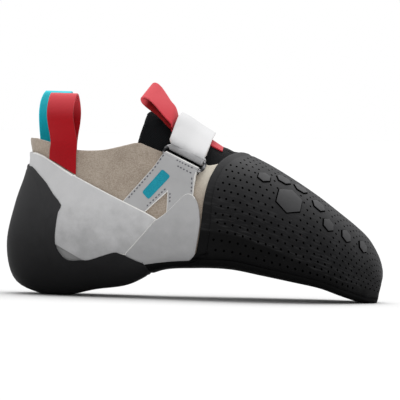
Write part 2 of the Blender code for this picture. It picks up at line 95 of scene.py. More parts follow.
# Ribs from the ankle, round the heel and along the foot to the toe tip. Each runs from the heel
# or the sole (base) to the instep line (ridge); wide is the share of it where it is broadest.
RIBS = [
    Rib(-21.6, 115.0, 54.0, 128.0, 0.50, -26.0, 26.0, 0.0, 0.0, 2.2, 2.2),
    Rib(-20.6, 98.9, 57.0, 120.5, 0.50, -26.0, 26.0, 0.0, 0.0, 2.2, 2.2),
    Rib(-18.4, 86.2, 59.6, 118.6, 0.49, -26.5, 26.5, 0.0, 0.0, 2.2, 2.2),
    Rib(-20.1, 74.7, 62.2, 117.4, 0.46, -27.2, 27.0, 0.0, 0.0, 2.2, 2.1),
    Rib(-25.7, 56.8, 64.8, 116.4, 0.41, -28.4, 28.0, 0.0, 0.4, 2.2, 2.1),
    Rib(-30.3, 32.5, 67.4, 115.5, 0.36, -29.0, 28.6, 0.0, 0.8, 2.2, 2.0),
    Rib(-26.2, 12.2, 70.2, 114.6, 0.32, -29.4, 28.6, 0.0, 1.2, 2.3, 2.0),
    Rib(-14.1, 4.6, 73.0, 113.6, 0.30, -29.6, 28.2, 0.0, 1.6, 2.5, 2.0),
    Rib(2.4, 2.4, 76.2, 112.2, 0.28, -30.0, 27.6, 0.0, 2.0, 2.7, 2.0),
    Rib(23.3, 7.0, 80.6, 110.2, 0.27, -31.0, 27.2, 0.0, 2.6, 3.0, 2.0),
    Rib(44.1, 10.8, 86.4, 107.2, 0.27, -33.2, 27.2, -0.6, 3.4, 3.6, 2.0),
    Rib(64.2, 21.0, 94.2, 102.8, 0.28, -36.2, 29.0, -1.2, 3.8, 4.2, 2.1),
    Rib(86.4, 23.3, 104.5, 96.4, 0.28, -39.6, 33.0, -1.4, 4.4, 4.4, 2.3),
    Rib(108.6, 23.2, 117.4, 90.6, 0.27, -42.0, 38.2, -1.0, 4.8, 4.4, 2.6),
    Rib(129.1, 19.8, 132.2, 83.6, 0.25, -42.4, 41.6, 0.4, 5.0, 4.4, 2.9),
    Rib(148.3, 16.2, 147.8, 74.6, 0.24, -39.8, 43.6, 2.4, 5.4, 4.2, 3.0),
    Rib(166.2, 12.6, 162.7, 65.0, 0.23, -33.8, 43.0, 5.4, 6.8, 4.0, 3.0),
    Rib(179.0, 8.2, 175.7, 55.5, 0.23, -25.2, 40.4, 9.0, 9.2, 3.7, 2.8),
    Rib(187.3, 5.4, 186.8, 47.0, 0.24, -16.2, 37.0, 12.0, 11.4, 3.4, 2.6),
    Rib(193.3, 3.6, 194.7, 39.8, 0.25, -8.6, 33.6, 13.6, 13.2, 3.2, 2.4),
    Rib(197.8, 3.0, 200.0, 31.9, 0.27, -2.0, 30.2, 14.8, 14.4, 3.0, 2.3),
    Rib(200.9, 3.0, 203.1, 24.9, 0.30, 3.4, 26.6, 15.4, 15.2, 2.7, 2.2),
    Rib(202.8, 3.9, 204.7, 17.3, 0.36, 8.4, 22.6, 15.6, 15.6, 2.4, 2.2),
    Rib(204.0, 6.2, 205.1, 10.8, 0.45, 13.6, 17.8, 15.6, 15.6, 2.2, 2.2),
]
LAST = len(RIBS) - 1.0
TIP = Vector((204.0, 15.7, 9.4))
TIP_PLACE = LAST + 1.0

# Side outlines as (x, z) points
COLLAR = [
    (-18.4, 99.3), (-16.3, 99.0), (-14.4, 98.3), (-8, 96.7), (0.3, 94.1), (8.7, 92.4), (17.6, 92.1),
    (26.4, 92.7), (35.3, 94.5), (42.9, 96.6), (48.8, 98.2),
]
THROAT = [(55.6, 95.8), (64, 92.5), (75, 88.4), (86, 85), (93, 85), (99.0, 86.4), (103.4, 88.6)]
HEEL_REAR = [
    (-19.4, 80.9), (-17.0, 79.0), (-14.6, 76.6), (-9.2, 71), (-4.6, 64.3), (1.1, 57.3), (-0.8, 52.9),
    (-2.2, 42), (-2.2, 33), (0.3, 27.2),
]
HEEL_LOW = [
    (5.4, 22.4), (12.6, 22.3), (19.4, 23), (26.8, 25.6), (34.2, 28.2), (37.5, 28.2), (42.4, 26.5),
    (48.6, 23.6), (53.4, 21.8), (56.8, 19.0),
]
QUARTER_TOP = [
    (-18.2, 89.6), (-16.0, 89.3), (-13.5, 88.5), (-10.8, 87.4), (-7.2, 85.4), (-1.2, 82.1), (8.3, 76.6),
    (32.4, 64.6), (54, 54.6), (61.2, 50.6),
]
QUARTER_FRONT = [(42.9, 28.2), (42.5, 27.1)]
QUARTER_LOW = [
    (37.4, 27.4), (34.1, 27.4), (26.7, 24.9), (19.4, 22.2), (15.4, 23.2), (5.5, 28.5), (-3.0, 33.0),
]
QUARTER_REAR = [
    (-3.2, 42), (-2.2, 52.9), (-1.0, 57.6), (-5.7, 63.8), (-10.0, 70.4), (-15.2, 75.8), (-17.6, 78.2),
    (-19.6, 79.8),
]
SIDE_TOP = [(60.4, 49.6), (67.6, 55.1), (77.1, 65.4), (80.6, 67.2), (84.2, 65.8), (87.2, 60), (88.6, 51)]
SIDE_FRONT = [(88.6, 47.5), (86.0, 28.7)]
SIDE_REAR = [(55.6, 18.6), (52.6, 21.4), (48.4, 23), (42.2, 25.9), (42.2, 28.4)]
PATCH_REAR = [
    (86.6, 28.7), (89.2, 47.5), (90.5, 62.7), (93.2, 75.2), (97.0, 83.2), (99.2, 86.6), (102.6, 89.8),
    (106.4, 92.3), (109.7, 93.4),
]
PATCH_FAR = PATCH_REAR[:4] + [(97.4, 83.4), (101.5, 89.7), (104.0, 94.0), (105.0, 97.0)]
SOLE_UNDER_HEEL = [(51.4, 18.6), (53.2, 20.4)]
SOLE_TOP = [(55.2, 21.3), (62.2, 22.3), (71.9, 23.5), (82.4, 24.4), (84.6, 25.4)]
PATCH_STEP = [(90.8, 46.9), (113.1, 43.1), (127.3, 37.8), (140.2, 31.9), (150.5, 27.1), (167.9, 19.4)]
BASE_V = [
    (87.0, 80.0), (85.6, 77.2), (84.8, 74.6), (84.2, 71.0), (83.8, 65.4), (80.6, 65.9), (77, 64.2),
    (72.2, 59), (67.4, 54.2), (67.7, 68.1), (53.0, 53.8), (38.9, 59.9), (52.0, 75.4), (63.7, 89.3),
]
TAG = [(51.7, 66.9), (56.0, 62.4), (69.4, 77.4), (64.0, 81.4)]

# The throat's front end as (x, y) from above, from the outer lobe to the inner one
NOTCH = [
    (112.2, -11.0), (114.6, -6.0), (116.8, -1.0), (118.0, 4.0), (117.6, 9.0), (115.8, 13.4), (112.8, 16.4),
    (109.4, 17.4), (105.5, 15.8),
]
NOTCH_MIDDLE = Vector((108.0, 3.0))


def between(before, start, end, after, share):
    """A value on the smooth curve through four neighbours, share of the way from start to end."""
    bend = 2 * before - 5 * start + 4 * end - after
    twist = 3 * (start - end) + after - before
    return start + 0.5 * share * (end - before + share * (bend + share * twist))


def neighbours(rows, index):
    """The row at the index, the one before it and the two after it, with the ends repeated."""
    return [rows[min(max(index + step, 0), len(rows) - 1)] for step in (-1, 0, 1, 2)]


@lru_cache(maxsize=None)
def rib_at(place):
    """The rib at a place, which may lie between two of the listed ones."""
    first = min(int(place), len(RIBS) - 2)
    return Rib(*(between(*values, place - first) for values in zip(*neighbours(RIBS, first))))


def surface(place, turn):
    """A point of the upper's outer face. A turn is 0 on the ridge, 1 where broadest, 2 at the base."""
    rib = rib_at(min(max(place, 0.0), LAST))
    turn = turn - 4 if turn > 2 else turn + 4 if turn < -2 else turn
    around = abs(turn)
    side = rib.outer_y if turn < 0 else rib.inner_y
    angle = math.pi / 2 * abs(around - 1)
    power = rib.ridge_power if around < 1 else rib.base_power
    across = math.cos(angle)
    rise = math.sin(angle)
    reach = (abs(across) ** power + abs(rise) ** power) ** (-1 / power)
    if around < 1:
        share = rib.wide + (1 - rib.wide) * reach * rise
        middle = rib.ridge_y
    else:
        share = rib.wide * (1 - reach * rise)
        middle = rib.base_y
    return Vector((
        rib.base_x + share * (rib.ridge_x - rib.base_x),
        middle + (side - middle) * reach * across,
        rib.base_z + share * (rib.ridge_z - rib.base_z),
    ))


def normal_at(place, turn):
    """The outward direction of the upper's outer face."""
    step = 0.03
    along = surface(place + step, turn) - surface(place - step, turn)
    around = surface(place, turn + step) - surface(place, turn - step)
    return along.cross(around).normalized()


def skin(place, turn, offset):
    """A point at an offset from the outer face; past the last rib it closes on the toe tip."""
    at = min(place, LAST)
    point = surface(at, turn) + normal_at(at, turn) * offset
    return point.lerp(TIP + Vector((offset, 0.0, 0.0)), max(place - LAST, 0.0))


def seek(goal, axes, place, turn, low, high, offset=0.0):
    """The place and turn of the point whose two coordinates are the goal, from a first guess."""
    step = 0.01
    close = 0.001
    stride = 0.2
    margin = 0.2
    one, two = axes
    for _ in range(TRIES):
        here = skin(place, turn, offset)
        miss_one = goal[0] - here[one]
        miss_two = goal[1] - here[two]
        if abs(miss_one) + abs(miss_two) < close:
            break
        by_place = (skin(place + step, turn, offset) - here) / step
        by_turn = (skin(place, turn + step, offset) - here) / step
        area = by_place[one] * by_turn[two] - by_place[two] * by_turn[one]
        move_place = (miss_one * by_turn[two] - miss_two * by_turn[one]) / area
        move_turn = (by_place[one] * miss_two - by_place[two] * miss_one) / area
        place = min(max(place + max(-1.0, min(1.0, move_place)), margin), LAST - margin)
        turn = min(max(turn + max(-stride, min(stride, move_turn)), low), high)
    return place, turn


def spot(x, z, outer=True, slide=0.0, lean=0.0, offset=0.0, guess=None):
    """The place and turn that the side view shows at x, z; slide and lean shift it across the foot."""
    found = guess or (MIDDLE_PLACE, -MIDDLE_TURN if outer else MIDDLE_TURN)
    limits = (-1.95, -0.05) if outer else (0.05, 1.95)
    for _ in range(3 if slide or lean else 1):
        across = surface(*found).y - LEVEL_Y if slide or lean else 0.0
        found = seek((x + slide * across, z + lean * across), (0, 2), *found, *limits, offset)
    return found


def flow(points, steps=3):
    """The points of a smooth curve through the listed ones."""
    curve = []
    for index in range(len(points) - 1):
        for part in range(steps):
            rows = zip(*neighbours(points, index))
            curve.append(tuple(between(*values, part / steps) for values in rows))
    return curve + [points[-1]]


def straight(points, spacing=2.0):
    """The points of the straight lines between the listed ones, no farther apart than the spacing."""
    line = []
    for (x, z), (end_x, end_z) in zip(points, points[1:]):
        count = math.ceil(math.hypot(end_x - x, end_z - z) / spacing)
        line += [(x + (end_x - x) * part / count, z + (end_z - z) * part / count) for part in range(count)]
    return line + [points[-1]]


def rounded(points, radius, steps=4):
    """A closed outline with its corners rounded off."""
    outline = []
    for before, corner, after in zip(points[-1:] + points[:-1], points, points[1:] + points[:1]):
        corner = Vector(corner)
        start = corner + (Vector(before) - corner).normalized() * radius
        end = corner + (Vector(after) - corner).normalized() * radius
        for part in range(steps + 1):
            share = part / steps
            outline.append(tuple(start.lerp(corner, share).lerp(corner.lerp(end, share), share)))
    return outline


def chain(points, outer=True, steps=3, **shifts):
    """Spots along the smooth side line through the points."""
    spots = []
    for x, z in straight(flow(points, steps)):
        spots.append(spot(x, z, outer, guess=spots[-1] if spots else None, **shifts))
    return spots


def behind(spots):
    """The same spots counted on round the base, for pieces that pass behind or under the foot."""
    return [(place, turn + 4 if turn < 0 else turn) for place, turn in spots]


def halved(low, high, before):
    """The place between low and high up to which the test holds, found by halving."""
    for _ in range(TRIES):
        middle = (low + high) / 2
        low, high = (middle, high) if before(middle) else (low, middle)
    return low


def back_place(z):
    """The place at which the heel's back line has that height."""
    return halved(0.0, HEEL_PLACE, lambda place: rib_at(place).base_z > z)


def row_at(x, turns):
    """Spots where the last has that x, one for each turn."""
    return [(halved(FOOT_PLACE, LAST, lambda place: surface(place, turn).x < x), turn) for turn in turns]


def lengths(points):
    """The length run so far at each point of a line."""
    runs = [0.0]
    for start, end in zip(points, points[1:]):
        runs.append(runs[-1] + (end - start).length)
    return runs


def read_off(table, at):
    """The value of a table at a count that may lie between two of its rows."""
    index = min(int(at), len(table) - 2)
    return table[index] + (table[index + 1] - table[index]) * (at - index)


def bracket(table, value):
    """The row of a rising table before a value, and the share of the way to the next row."""
    index = min(max(bisect_right(table, value) - 1, 0), len(table) - 2)
    return index, (value - table[index]) / (table[index + 1] - table[index])


# The flat pattern: its x is the length along the shoe's side, its y the length round its forefoot
GIRTH_PLACE = 14.5
GIRTH_STEP = 0.02
GIRTH_ROWS = round(6 / GIRTH_STEP) + 1
GIRTHS = lengths([surface(GIRTH_PLACE, count * GIRTH_STEP - 2) for count in range(GIRTH_ROWS)])
RIDGE_GIRTH = GIRTHS[round(2 / GIRTH_STEP)]
RUN_STEP = 0.05
RUN_ROWS = round(TIP_PLACE / RUN_STEP) + 1
RUNS = lengths([skin(count * RUN_STEP, -1.0, 0.0) for count in range(RUN_ROWS)])


def run_of(place):
    return read_off(RUNS, place / RUN_STEP)


def place_of(run):
    index, part = bracket(RUNS, run)
    return (index + part) * RUN_STEP


def girth_of(turn):
    return read_off(GIRTHS, (turn + 2) / GIRTH_STEP) - RIDGE_GIRTH


def turn_of(girth):
    index, part = bracket(GIRTHS, girth + RIDGE_GIRTH)
    return (index + part) * GIRTH_STEP - 2


def flat(place, turn):
    """The point of the flat pattern for a spot of the last."""
    return Vector((run_of(place), girth_of(turn), 0.0))


def soft_step(value):
    """A smooth rise from 0 to 1 while the value goes from 0 to 1."""
    share = min(max(value, 0.0), 1.0)
    return share * share * (3 - 2 * share)


def off_line(point, line):
    """How far a flat point is from a line of points."""
    best = math.inf
    for start, end in zip(line, line[1:]):
        way = end - start
        share = min(max((point - start).dot(way) / max(way.length_squared, TINY), 0.0), 1.0)
        best = min(best, (start + way * share - point).length)
    return best


def line_at(points, at):
    """The second value of a line of points where the first is at, level past its ends."""
    for (start, low), (end, high) in zip(points, points[1:]):
        if at <= end:
            return low + (high - low) * min(max((at - start) / (end - start), 0.0), 1.0)
    return points[-1][1]


def pattern(outlines, rim=(), lines_x=(), lines_y=()):
    """Flat pattern pieces with rim loops as (width, drop) from the edge in, cut along the given lines."""
    mesh = bmesh.new()
    mesh.verts.layers.float_vector.new("where")
    mesh.loops.layers.uv.new("pattern")
    for outline in outlines:
        face = mesh.faces.new([mesh.verts.new(flat(*at)) for at in outline])
        face.normal_update()
        if face.normal.z < 0:
            face.normal_flip()
        settled = {vert for other in mesh.faces if other is not face for vert in other.verts}
        for width, drop in rim:
            bmesh.ops.inset_region(
                mesh, faces=[face], thickness=width, use_even_offset=False, use_boundary=True
            )
            inner = set(face.verts)
            for vert in mesh.verts:
                if vert not in inner and vert not in settled:
                    vert.co.z = -drop
                    settled.add(vert)
    for axis, lines in ((0, lines_x), (1, lines_y)):
        across = Vector((1.0, 0.0, 0.0)) if axis == 0 else Vector((0.0, 1.0, 0.0))
        low = min(vert.co[axis] for vert in mesh.verts)
        high = max(vert.co[axis] for vert in mesh.verts)
        for line in lines:
            if low < line < high:
                parts = mesh.verts[:] + mesh.edges[:] + mesh.faces[:]
                bmesh.ops.bisect_plane(
                    mesh, geom=parts, dist=CUT_SLACK, plane_co=across * line, plane_no=across
                )
    return mesh


def ruled(low, high, step):
    """Evenly spaced values from low up to high."""
    return [low + step * count for count in range(int((high - low) / step) + 1)]


def lay(mesh, low, high, relief=None, front=None):
    """Lays a pattern on the last, with its thickness from the low to the high offset.

    A piece with a front is kept above the floor and behind the toe's slanted front.
    """
    where = mesh.verts.layers.float_vector["where"]
    sheet = mesh.loops.layers.uv["pattern"]
    for face in mesh.faces:
        for loop in face.loops:
            loop[sheet].uv = loop.vert.co.xy * MM

    def settle(point):
        if front:
            point.z = max(point.z, 0.0)
            point.x = min(point.x, front + TOE_SLANT * point.z)
        return point * MM

    for vert in mesh.verts:
        vert[where] = (place_of(vert.co.x), turn_of(vert.co.y), vert.co.z)
    for vert in mesh.verts:
        place, turn, level = vert[where]
        rise = relief(place, turn) if relief else 0.0
        vert.co = settle(skin(place, turn, high + level + rise))
    bmesh.ops.remove_doubles(mesh, verts=mesh.verts, dist=MERGE)
    made = bmesh.ops.extrude_face_region(mesh, geom=mesh.faces[:])["geom"]
    for item in made:
        if isinstance(item, bmesh.types.BMVert):
            place, turn, level = item[where]
            base = low(place, turn) if callable(low) else low
            item.co = settle(skin(place, turn, base))
    bmesh.ops.recalc_face_normals(mesh, faces=mesh.faces)
    return mesh


SHARP = math.radians(50)


def piece(name, mesh, finishes, node=None, sharp=SHARP):
    """A finished piece of the shoe, riding on its one body."""
    data = bpy.data.meshes.new(name)
    mesh.to_mesh(data)
    mesh.free()
    for finish in finishes:
        data.materials.append(finish)
    for polygon in data.polygons:
        polygon.use_smooth = True
    data.set_sharp_from_angle(angle=sharp)
    made = bpy.data.objects.new(name, data)
    bpy.context.scene.collection.objects.link(made)
    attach(made, "root")
    if node:
        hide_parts(node)
    return made


class Value:
    """A number that varies over a finish, so that sums of sockets are written as sums."""

    def __init__(self, finish, socket):
        self.finish = finish
        self.socket = socket

    def reckon(self, operation, first, second):
        return self.finish.node("ShaderNodeMath", {"operation": operation}, {0: first, 1: second})

    def __add__(self, other):
        return self.reckon("ADD", self, other)

    def __sub__(self, other):
        return self.reckon("SUBTRACT", self, other)

    def __rsub__(self, other):
        return self.reckon("SUBTRACT", other, self)

    def __mul__(self, other):
        return self.reckon("MULTIPLY", self, other)

    __radd__ = __add__
    __rmul__ = __mul__


class Finish:
    """A material with its nodes. Values that are the same all over are set on the shader itself."""

    def __init__(self, name, **uniform):
        self.material = bpy.data.materials.new(name)
        self.material.use_nodes = True
        self.tree = self.material.node_tree
        self.shader = self.tree.nodes["Principled BSDF"]
        for socket, value in uniform.items():
            self.shader.inputs[socket.replace("_", " ")].default_value = value
        self.object = self.node("ShaderNodeTexCoord", output="Object")
        self.uv = self.node("ShaderNodeTexCoord", output="UV")

    def node(self, kind, settings=None, inputs=None, output=0):
        made = self.tree.nodes.new(kind)
        for key, value in (settings or {}).items():
            setattr(made, key, value)
        for key, value in (inputs or {}).items():
            if isinstance(value, Value):
                self.tree.links.new(value.socket, made.inputs[key])
            else:
                made.inputs[key].default_value = value
        return Value(self, made.outputs[output])

    def noise(self, scale, detail=2.0, rough=0.5, vector=None):
        inputs = {"Vector": vector or self.object, "Scale": scale, "Detail": detail, "Roughness": rough}
        return self.node("ShaderNodeTexNoise", {}, inputs)

    def axis(self, name, vector=None):
        return self.node("ShaderNodeSeparateXYZ", {}, {"Vector": vector or self.object}, output=name)

    def stretch(self, vector, scale):
        return self.node("ShaderNodeMapping", {}, {"Vector": vector, "Scale": scale})

    def ramp(self, value, low, high):
        """A value from 0 at low to 1 at high, with soft ends."""
        inputs = {"Value": value, "From Min": low, "From Max": high}
        return self.node("ShaderNodeMapRange", {"interpolation_type": "SMOOTHSTEP"}, inputs)

    def mix(self, share, first, second):
        inputs = {0: share, 6: first, 7: second}
        return self.node("ShaderNodeMix", {"data_type": "RGBA"}, inputs, output=2)

    def feed(self, socket, value):
        self.tree.links.new(value.socket, self.shader.inputs[socket])

    def bump(self, height, distance, strength=1.0):
        inputs = {"Height": height, "Distance": distance * MM, "Strength": strength}
        self.feed("Normal", self.node("ShaderNodeBump", {}, inputs))


def colour(red, green, blue):
    """A linear colour from the 0 to 255 values that a screen shows."""
    return tuple((value / 255) ** 2.2 for value in (red, green, blue)) + (1.0,)


def suede():
    """Suede with a painted highlight in front of the strap, and grey in the corner above the heel's rubber.
    """
    made = Finish("suede", Roughness=0.92, Sheen_Weight=0.25, Sheen_Roughness=0.5, Specular_IOR_Level=0.2)
    nap = made.noise(1500.0, 3.0, 0.6)
    cloud = made.noise(90.0, 3.0, 0.5)
    tone = nap * 0.75 + cloud * 0.25
    napped = made.mix(made.ramp(tone, 0.34, 0.66), colour(154, 140, 126), colour(186, 173, 159))
    low = made.ramp(made.axis("Z"), 0.040, 0.036) * made.ramp(made.axis("X"), 0.030, 0.026)
    # A painted highlight: pale suede in front of the strap
    painted_highlight = made.ramp(made.axis("X"), 0.082, 0.092) * made.ramp(made.axis("Z"), 0.058, 0.084)
    painted_light = made.mix(painted_highlight, napped, colour(238, 230, 214))
    made.feed("Base Color", made.mix(low, painted_light, colour(146, 146, 146)))
    made.bump(nap + cloud * 0.6, 0.3, 0.5)
    return made.material


def panel_cloth(name, low, high):
    """Cloudy panel cloth, with painted shade darker toward the floor."""
    made = Finish(name, Specular_IOR_Level=0.3, Sheen_Weight=0.1)
    grain = made.noise(2200.0, 2.0)
    cloud = made.noise(110.0, 4.0, 0.6)
    # Painted shade: the cloth darkens toward the floor
    painted_light = made.ramp(made.axis("Z") + (cloud - 0.5) * 0.03, 0.020, 0.065)
    tone = grain * 0.15 + cloud * 0.25 + painted_light * 0.6
    made.feed("Base Color", made.mix(tone, low, high))
    made.feed("Roughness", 0.66 + cloud * 0.25)
    made.bump(grain + cloud * 0.8, 0.25, 0.35)
    return made.material


def rubber(name, low, high, roughness, ribs=0.0, highlight_and_streak=None):
    """Rubber with painted shade, darker low down; one given a highlight colour also gets a painted
    highlight toward the top of the foot, pale streaks in that colour, and painted shade below the step
    line.
    """
    made = Finish(name, Specular_IOR_Level=0.1)
    grain = made.noise(1700.0, 3.0, 0.6)
    cloud = made.noise(60.0, 4.0, 0.6)
    streaks = made.noise(900.0, 2.0, 0.5, made.stretch(made.uv, (0.12, 1.0, 1.0)))
    if highlight_and_streak:
        # Painted shade toward the sole and a painted highlight toward the top of the foot, by how far round
        # the foot a point lies
        where = made.node("ShaderNodeAttribute", {"attribute_name": "where"}, {}, "Vector")
        turn = made.node("ShaderNodeMath", {"operation": "ABSOLUTE"}, {0: made.axis("Y", where)})
        body = made.mix(made.ramp(turn, 1.3, 0.8), low, high)
        highlit = made.mix(made.ramp(turn + (cloud - 0.5) * 0.2, 0.9, 0.28), body, highlight_and_streak)
        # Painted shade: the band below the toe's step line takes the darkest colour
        below = made.node("ShaderNodeAttribute", {"attribute_name": "below_step"}, {}, "Fac")
        streaked = made.mix(made.ramp(streaks, 0.48, 0.72) * ribs * 0.5, highlit, highlight_and_streak)
        tint = made.mix(made.ramp(below, 0.0, 0.05), streaked, low)
    else:
        # Painted shade: darker low down
        tint = made.mix(made.ramp(made.axis("Z") + (cloud - 0.5) * 0.02, 0.010, 0.070), low, high)
    made.feed("Base Color", tint)
    made.feed("Roughness", roughness + (cloud - 0.5) * 0.3)
    made.bump(grain * 0.5 + cloud * 0.3 + streaks * ribs, 0.3, 0.4)
    return made.material


# Wave lines run across a pattern's length; at this scale one wave is one unit long
BANDS = {"wave_type": "BANDS", "bands_direction": "Y", "wave_profile": "SIN"}
WAVE_SCALE = 0.314


def webbing(name, low, high, painted_highlight, pitch, turned=None):
    """Ribbed ribbon with a painted highlight toward the top of its loop, and a rib across it every pitch.

    Past the length where it is turned back, its inside shows, painted darker as shade.
    """
    made = Finish(name, Specular_IOR_Level=0.15, Sheen_Weight=0.35, Sheen_Roughness=0.4)
    inputs = {"Vector": made.uv, "Scale": WAVE_SCALE / (pitch * MM), "Distortion": 0.15, "Detail": 0.0}
    rib = made.node("ShaderNodeTexWave", BANDS, inputs, output="Fac")
    thread = made.noise(2500.0, 2.0, 0.5, made.stretch(made.uv, (1.0, 0.25, 1.0)))
    woven = made.mix(rib * 0.45 + thread * 0.55, low, high)
    # A painted highlight toward the top of the loop
    tint = made.mix(made.ramp(made.axis("Z"), 0.110, 0.129), woven, painted_highlight)
    # Painted shade on the loop's inside past the turn
    if turned:
        tint = made.mix(made.ramp(made.axis("Y", made.uv), turned, turned + 0.004), tint, colour(132, 2, 8))
    made.feed("Base Color", tint)
    made.feed("Roughness", 0.5 + thread * 0.3)
    made.bump(rib + thread * 0.4, 0.18, 0.5)
    return made.material


def stretch_knit():
    """Black knit with fine wales along the tongue."""
    made = Finish("stretch_knit", Roughness=0.85, Sheen_Weight=0.06, Specular_IOR_Level=0.06)
    inputs = {"Vector": made.uv, "Scale": 330.0, "Distortion": 0.4}
    wale = made.node("ShaderNodeTexWave", BANDS, inputs, output="Fac")
    loop = made.noise(1500.0, 2.0)
    made.feed("Base Color", made.mix(wale * 0.5 + loop * 0.5, colour(10, 11, 12), colour(32, 34, 36)))
    made.bump(wale + loop * 0.6, 0.25, 0.5)
    return made.material


def metal():
    """Dark wire with bright spots painted in as glints."""
    made = Finish("dark_wire", Metallic=1.0)
    # Bright spots painted in as glints
    painted_glints = made.noise(260.0, 2.0, 0.5)
    made.feed("Base Color", made.mix(made.ramp(painted_glints, 0.4, 0.62), colour(60, 60, 62), colour(170, 170, 172)))
    made.feed("Roughness", 0.22 + painted_glints * 0.2)
    return made.material


def strap_cloth(name, shaded, lit, way, start, end):
    """Smooth strap with painted shade, greyer where it bends down, from start to end along a way."""
    made = Finish(name, Roughness=0.55, Specular_IOR_Level=0.3)
    grain = made.noise(2600.0, 2.0)
    cloud = made.noise(160.0, 3.0)
    inputs = {0: made.object, 1: tuple(way)}
    along = made.node("ShaderNodeVectorMath", {"operation": "DOT_PRODUCT"}, inputs, "Value")
    # Painted shade toward the ring's bar
    share = made.ramp(along + (cloud - 0.5) * 0.004, start, end)
    made.feed("Base Color", made.mix(share, shaded, lit))
    made.bump(grain, 0.06, 0.3)
    return made.material


def plain(name, low, high, roughness, scale=1400.0, gloss=0.3):
    """A fine even grain between two colours."""
    made = Finish(name, Roughness=roughness, Specular_IOR_Level=gloss)
    grain = made.noise(scale, 2.0)
    made.feed("Base Color", made.mix(made.ramp(grain, 0.3, 0.7), low, high))
    made.bump(grain, 0.12, 0.4)
    return made.material


SUEDE = suede()
GREY = panel_cloth("grey_panel", colour(146, 146, 147), colour(220, 220, 221))
GREY_SIDE = panel_cloth("grey_side_panel", colour(150, 150, 151), colour(188, 188, 189))
# Pale cut edges of the panels, also a painted highlight on top of the strap base's fold
PALE_EDGE_AND_HIGHLIGHT = plain("panel_cut_edge_and_fold_highlight", colour(236, 235, 231), colour(250, 249, 247), 0.7)
# Rubber colours run from painted shade low down to lit tones above; the toe's and pads' third colour is a
# painted highlight, also used for streaks
HEEL_BLACK = rubber("heel_rubber", colour(28, 28, 29), colour(62, 62, 63), 0.6)
TOE_BLACK = rubber("toe_rubber", colour(12, 12, 13), colour(30, 30, 31), 0.6, 0.6, colour(70, 70, 71))
PAD_BLACK = rubber("pad_rubber", colour(18, 18, 19), colour(46, 46, 47), 0.6, 0.0, colour(94, 94, 95))
# Near black, as painted shade in the pits, on the pads' walls and on the sheet round each pad
SHADE_BLACK = plain("painted_shade_rubber", colour(3, 3, 3), colour(6, 6, 6), 0.9, 1400.0, 0.0)
SOLE_BLACK = rubber("sole_rubber", colour(6, 6, 7), colour(14, 14, 15), 0.65)
STRAP_EDGE = plain("strap_cut_edge", colour(228, 222, 221), colour(238, 233, 232), 0.7)
# A ribbon's third colour is its painted highlight
RED = webbing("red_ribbon", colour(146, 4, 16), colour(186, 18, 34), colour(232, 84, 92), 0.75)
TEAL = webbing("teal_ribbon", colour(0, 190, 216), colour(20, 224, 246), colour(64, 226, 242), 0.75)
KNIT = stretch_knit()
STEEL = metal()
THREAD = plain("dark_thread", colour(84, 84, 90), colour(112, 112, 118), 0.7)
TAG_TEAL = plain("teal_tag", colour(16, 140, 162), colour(30, 158, 178), 0.5)
BOARD = plain("insole_cloth", colour(108, 106, 102), colour(132, 130, 125), 0.9, 700.0)

# Upper: rows run from the collar and throat to the toe tip, columns go round from the heel's back
NOTCH_PLACE = 12.6
NOTCH_TURN = 0.9
NOTCH_MARGIN = 1.4
COLLAR_BACK_Z = 98.7
HOLE_START = 7.2
HOLE_END = 21.2


def notch_line(offset, widen):
    """Spots round the throat's front end, moved outward to widen it."""
    spots = []
    for x, y in NOTCH:
        point = Vector((x, y))
        point += (point - NOTCH_MIDDLE).normalized() * widen
        spots.append(seek(point, (0, 1), NOTCH_PLACE, 0.0, -NOTCH_TURN, NOTCH_TURN, offset))
    return spots


back_top = back_place(COLLAR_BACK_Z)
outer_mouth = [(back_top, -2.0)] + chain(COLLAR + THROAT, True, 3, lean=COLLAR_LEAN)
inner_mouth = [(back_top, 2.0)] + chain(COLLAR + THROAT, False, 3, lean=COLLAR_LEAN)
mouth = outer_mouth + notch_line(0.0, NOTCH_MARGIN) + inner_mouth[::-1]
mouth_runs = lengths([surface(*at) for at in mouth])


def mouth_at(share):
    """The spot that lies a share of the way round the upper's mouth."""
    index, part = bracket(mouth_runs, share * mouth_runs[-1])
    start, end = mouth[index], mouth[index + 1]
    return start[0] + (end[0] - start[0]) * part, start[1] + (end[1] - start[1]) * part


Mark = namedtuple("Mark", "x z end_x end_z width depth")


def worn_by(marks, sharpness):
    """The height of soft troughs and ridges along the marks, as a function of place and turn."""

    def height(place, turn):
        point = surface(place, turn)
        rise = 0.0
        for mark in marks:
            start = Vector((mark.x, mark.z))
            way = Vector((mark.end_x - mark.x, mark.end_z - mark.z))
            here = Vector((point.x, point.z)) - start
            share = here.dot(way) / way.length_squared
            fade = soft_step(1.2 - abs(2 * share - 1))
            away = (here - way * share).length / mark.width
            rise += mark.depth * fade * math.exp(-(away ** sharpness))
        return rise

    return height


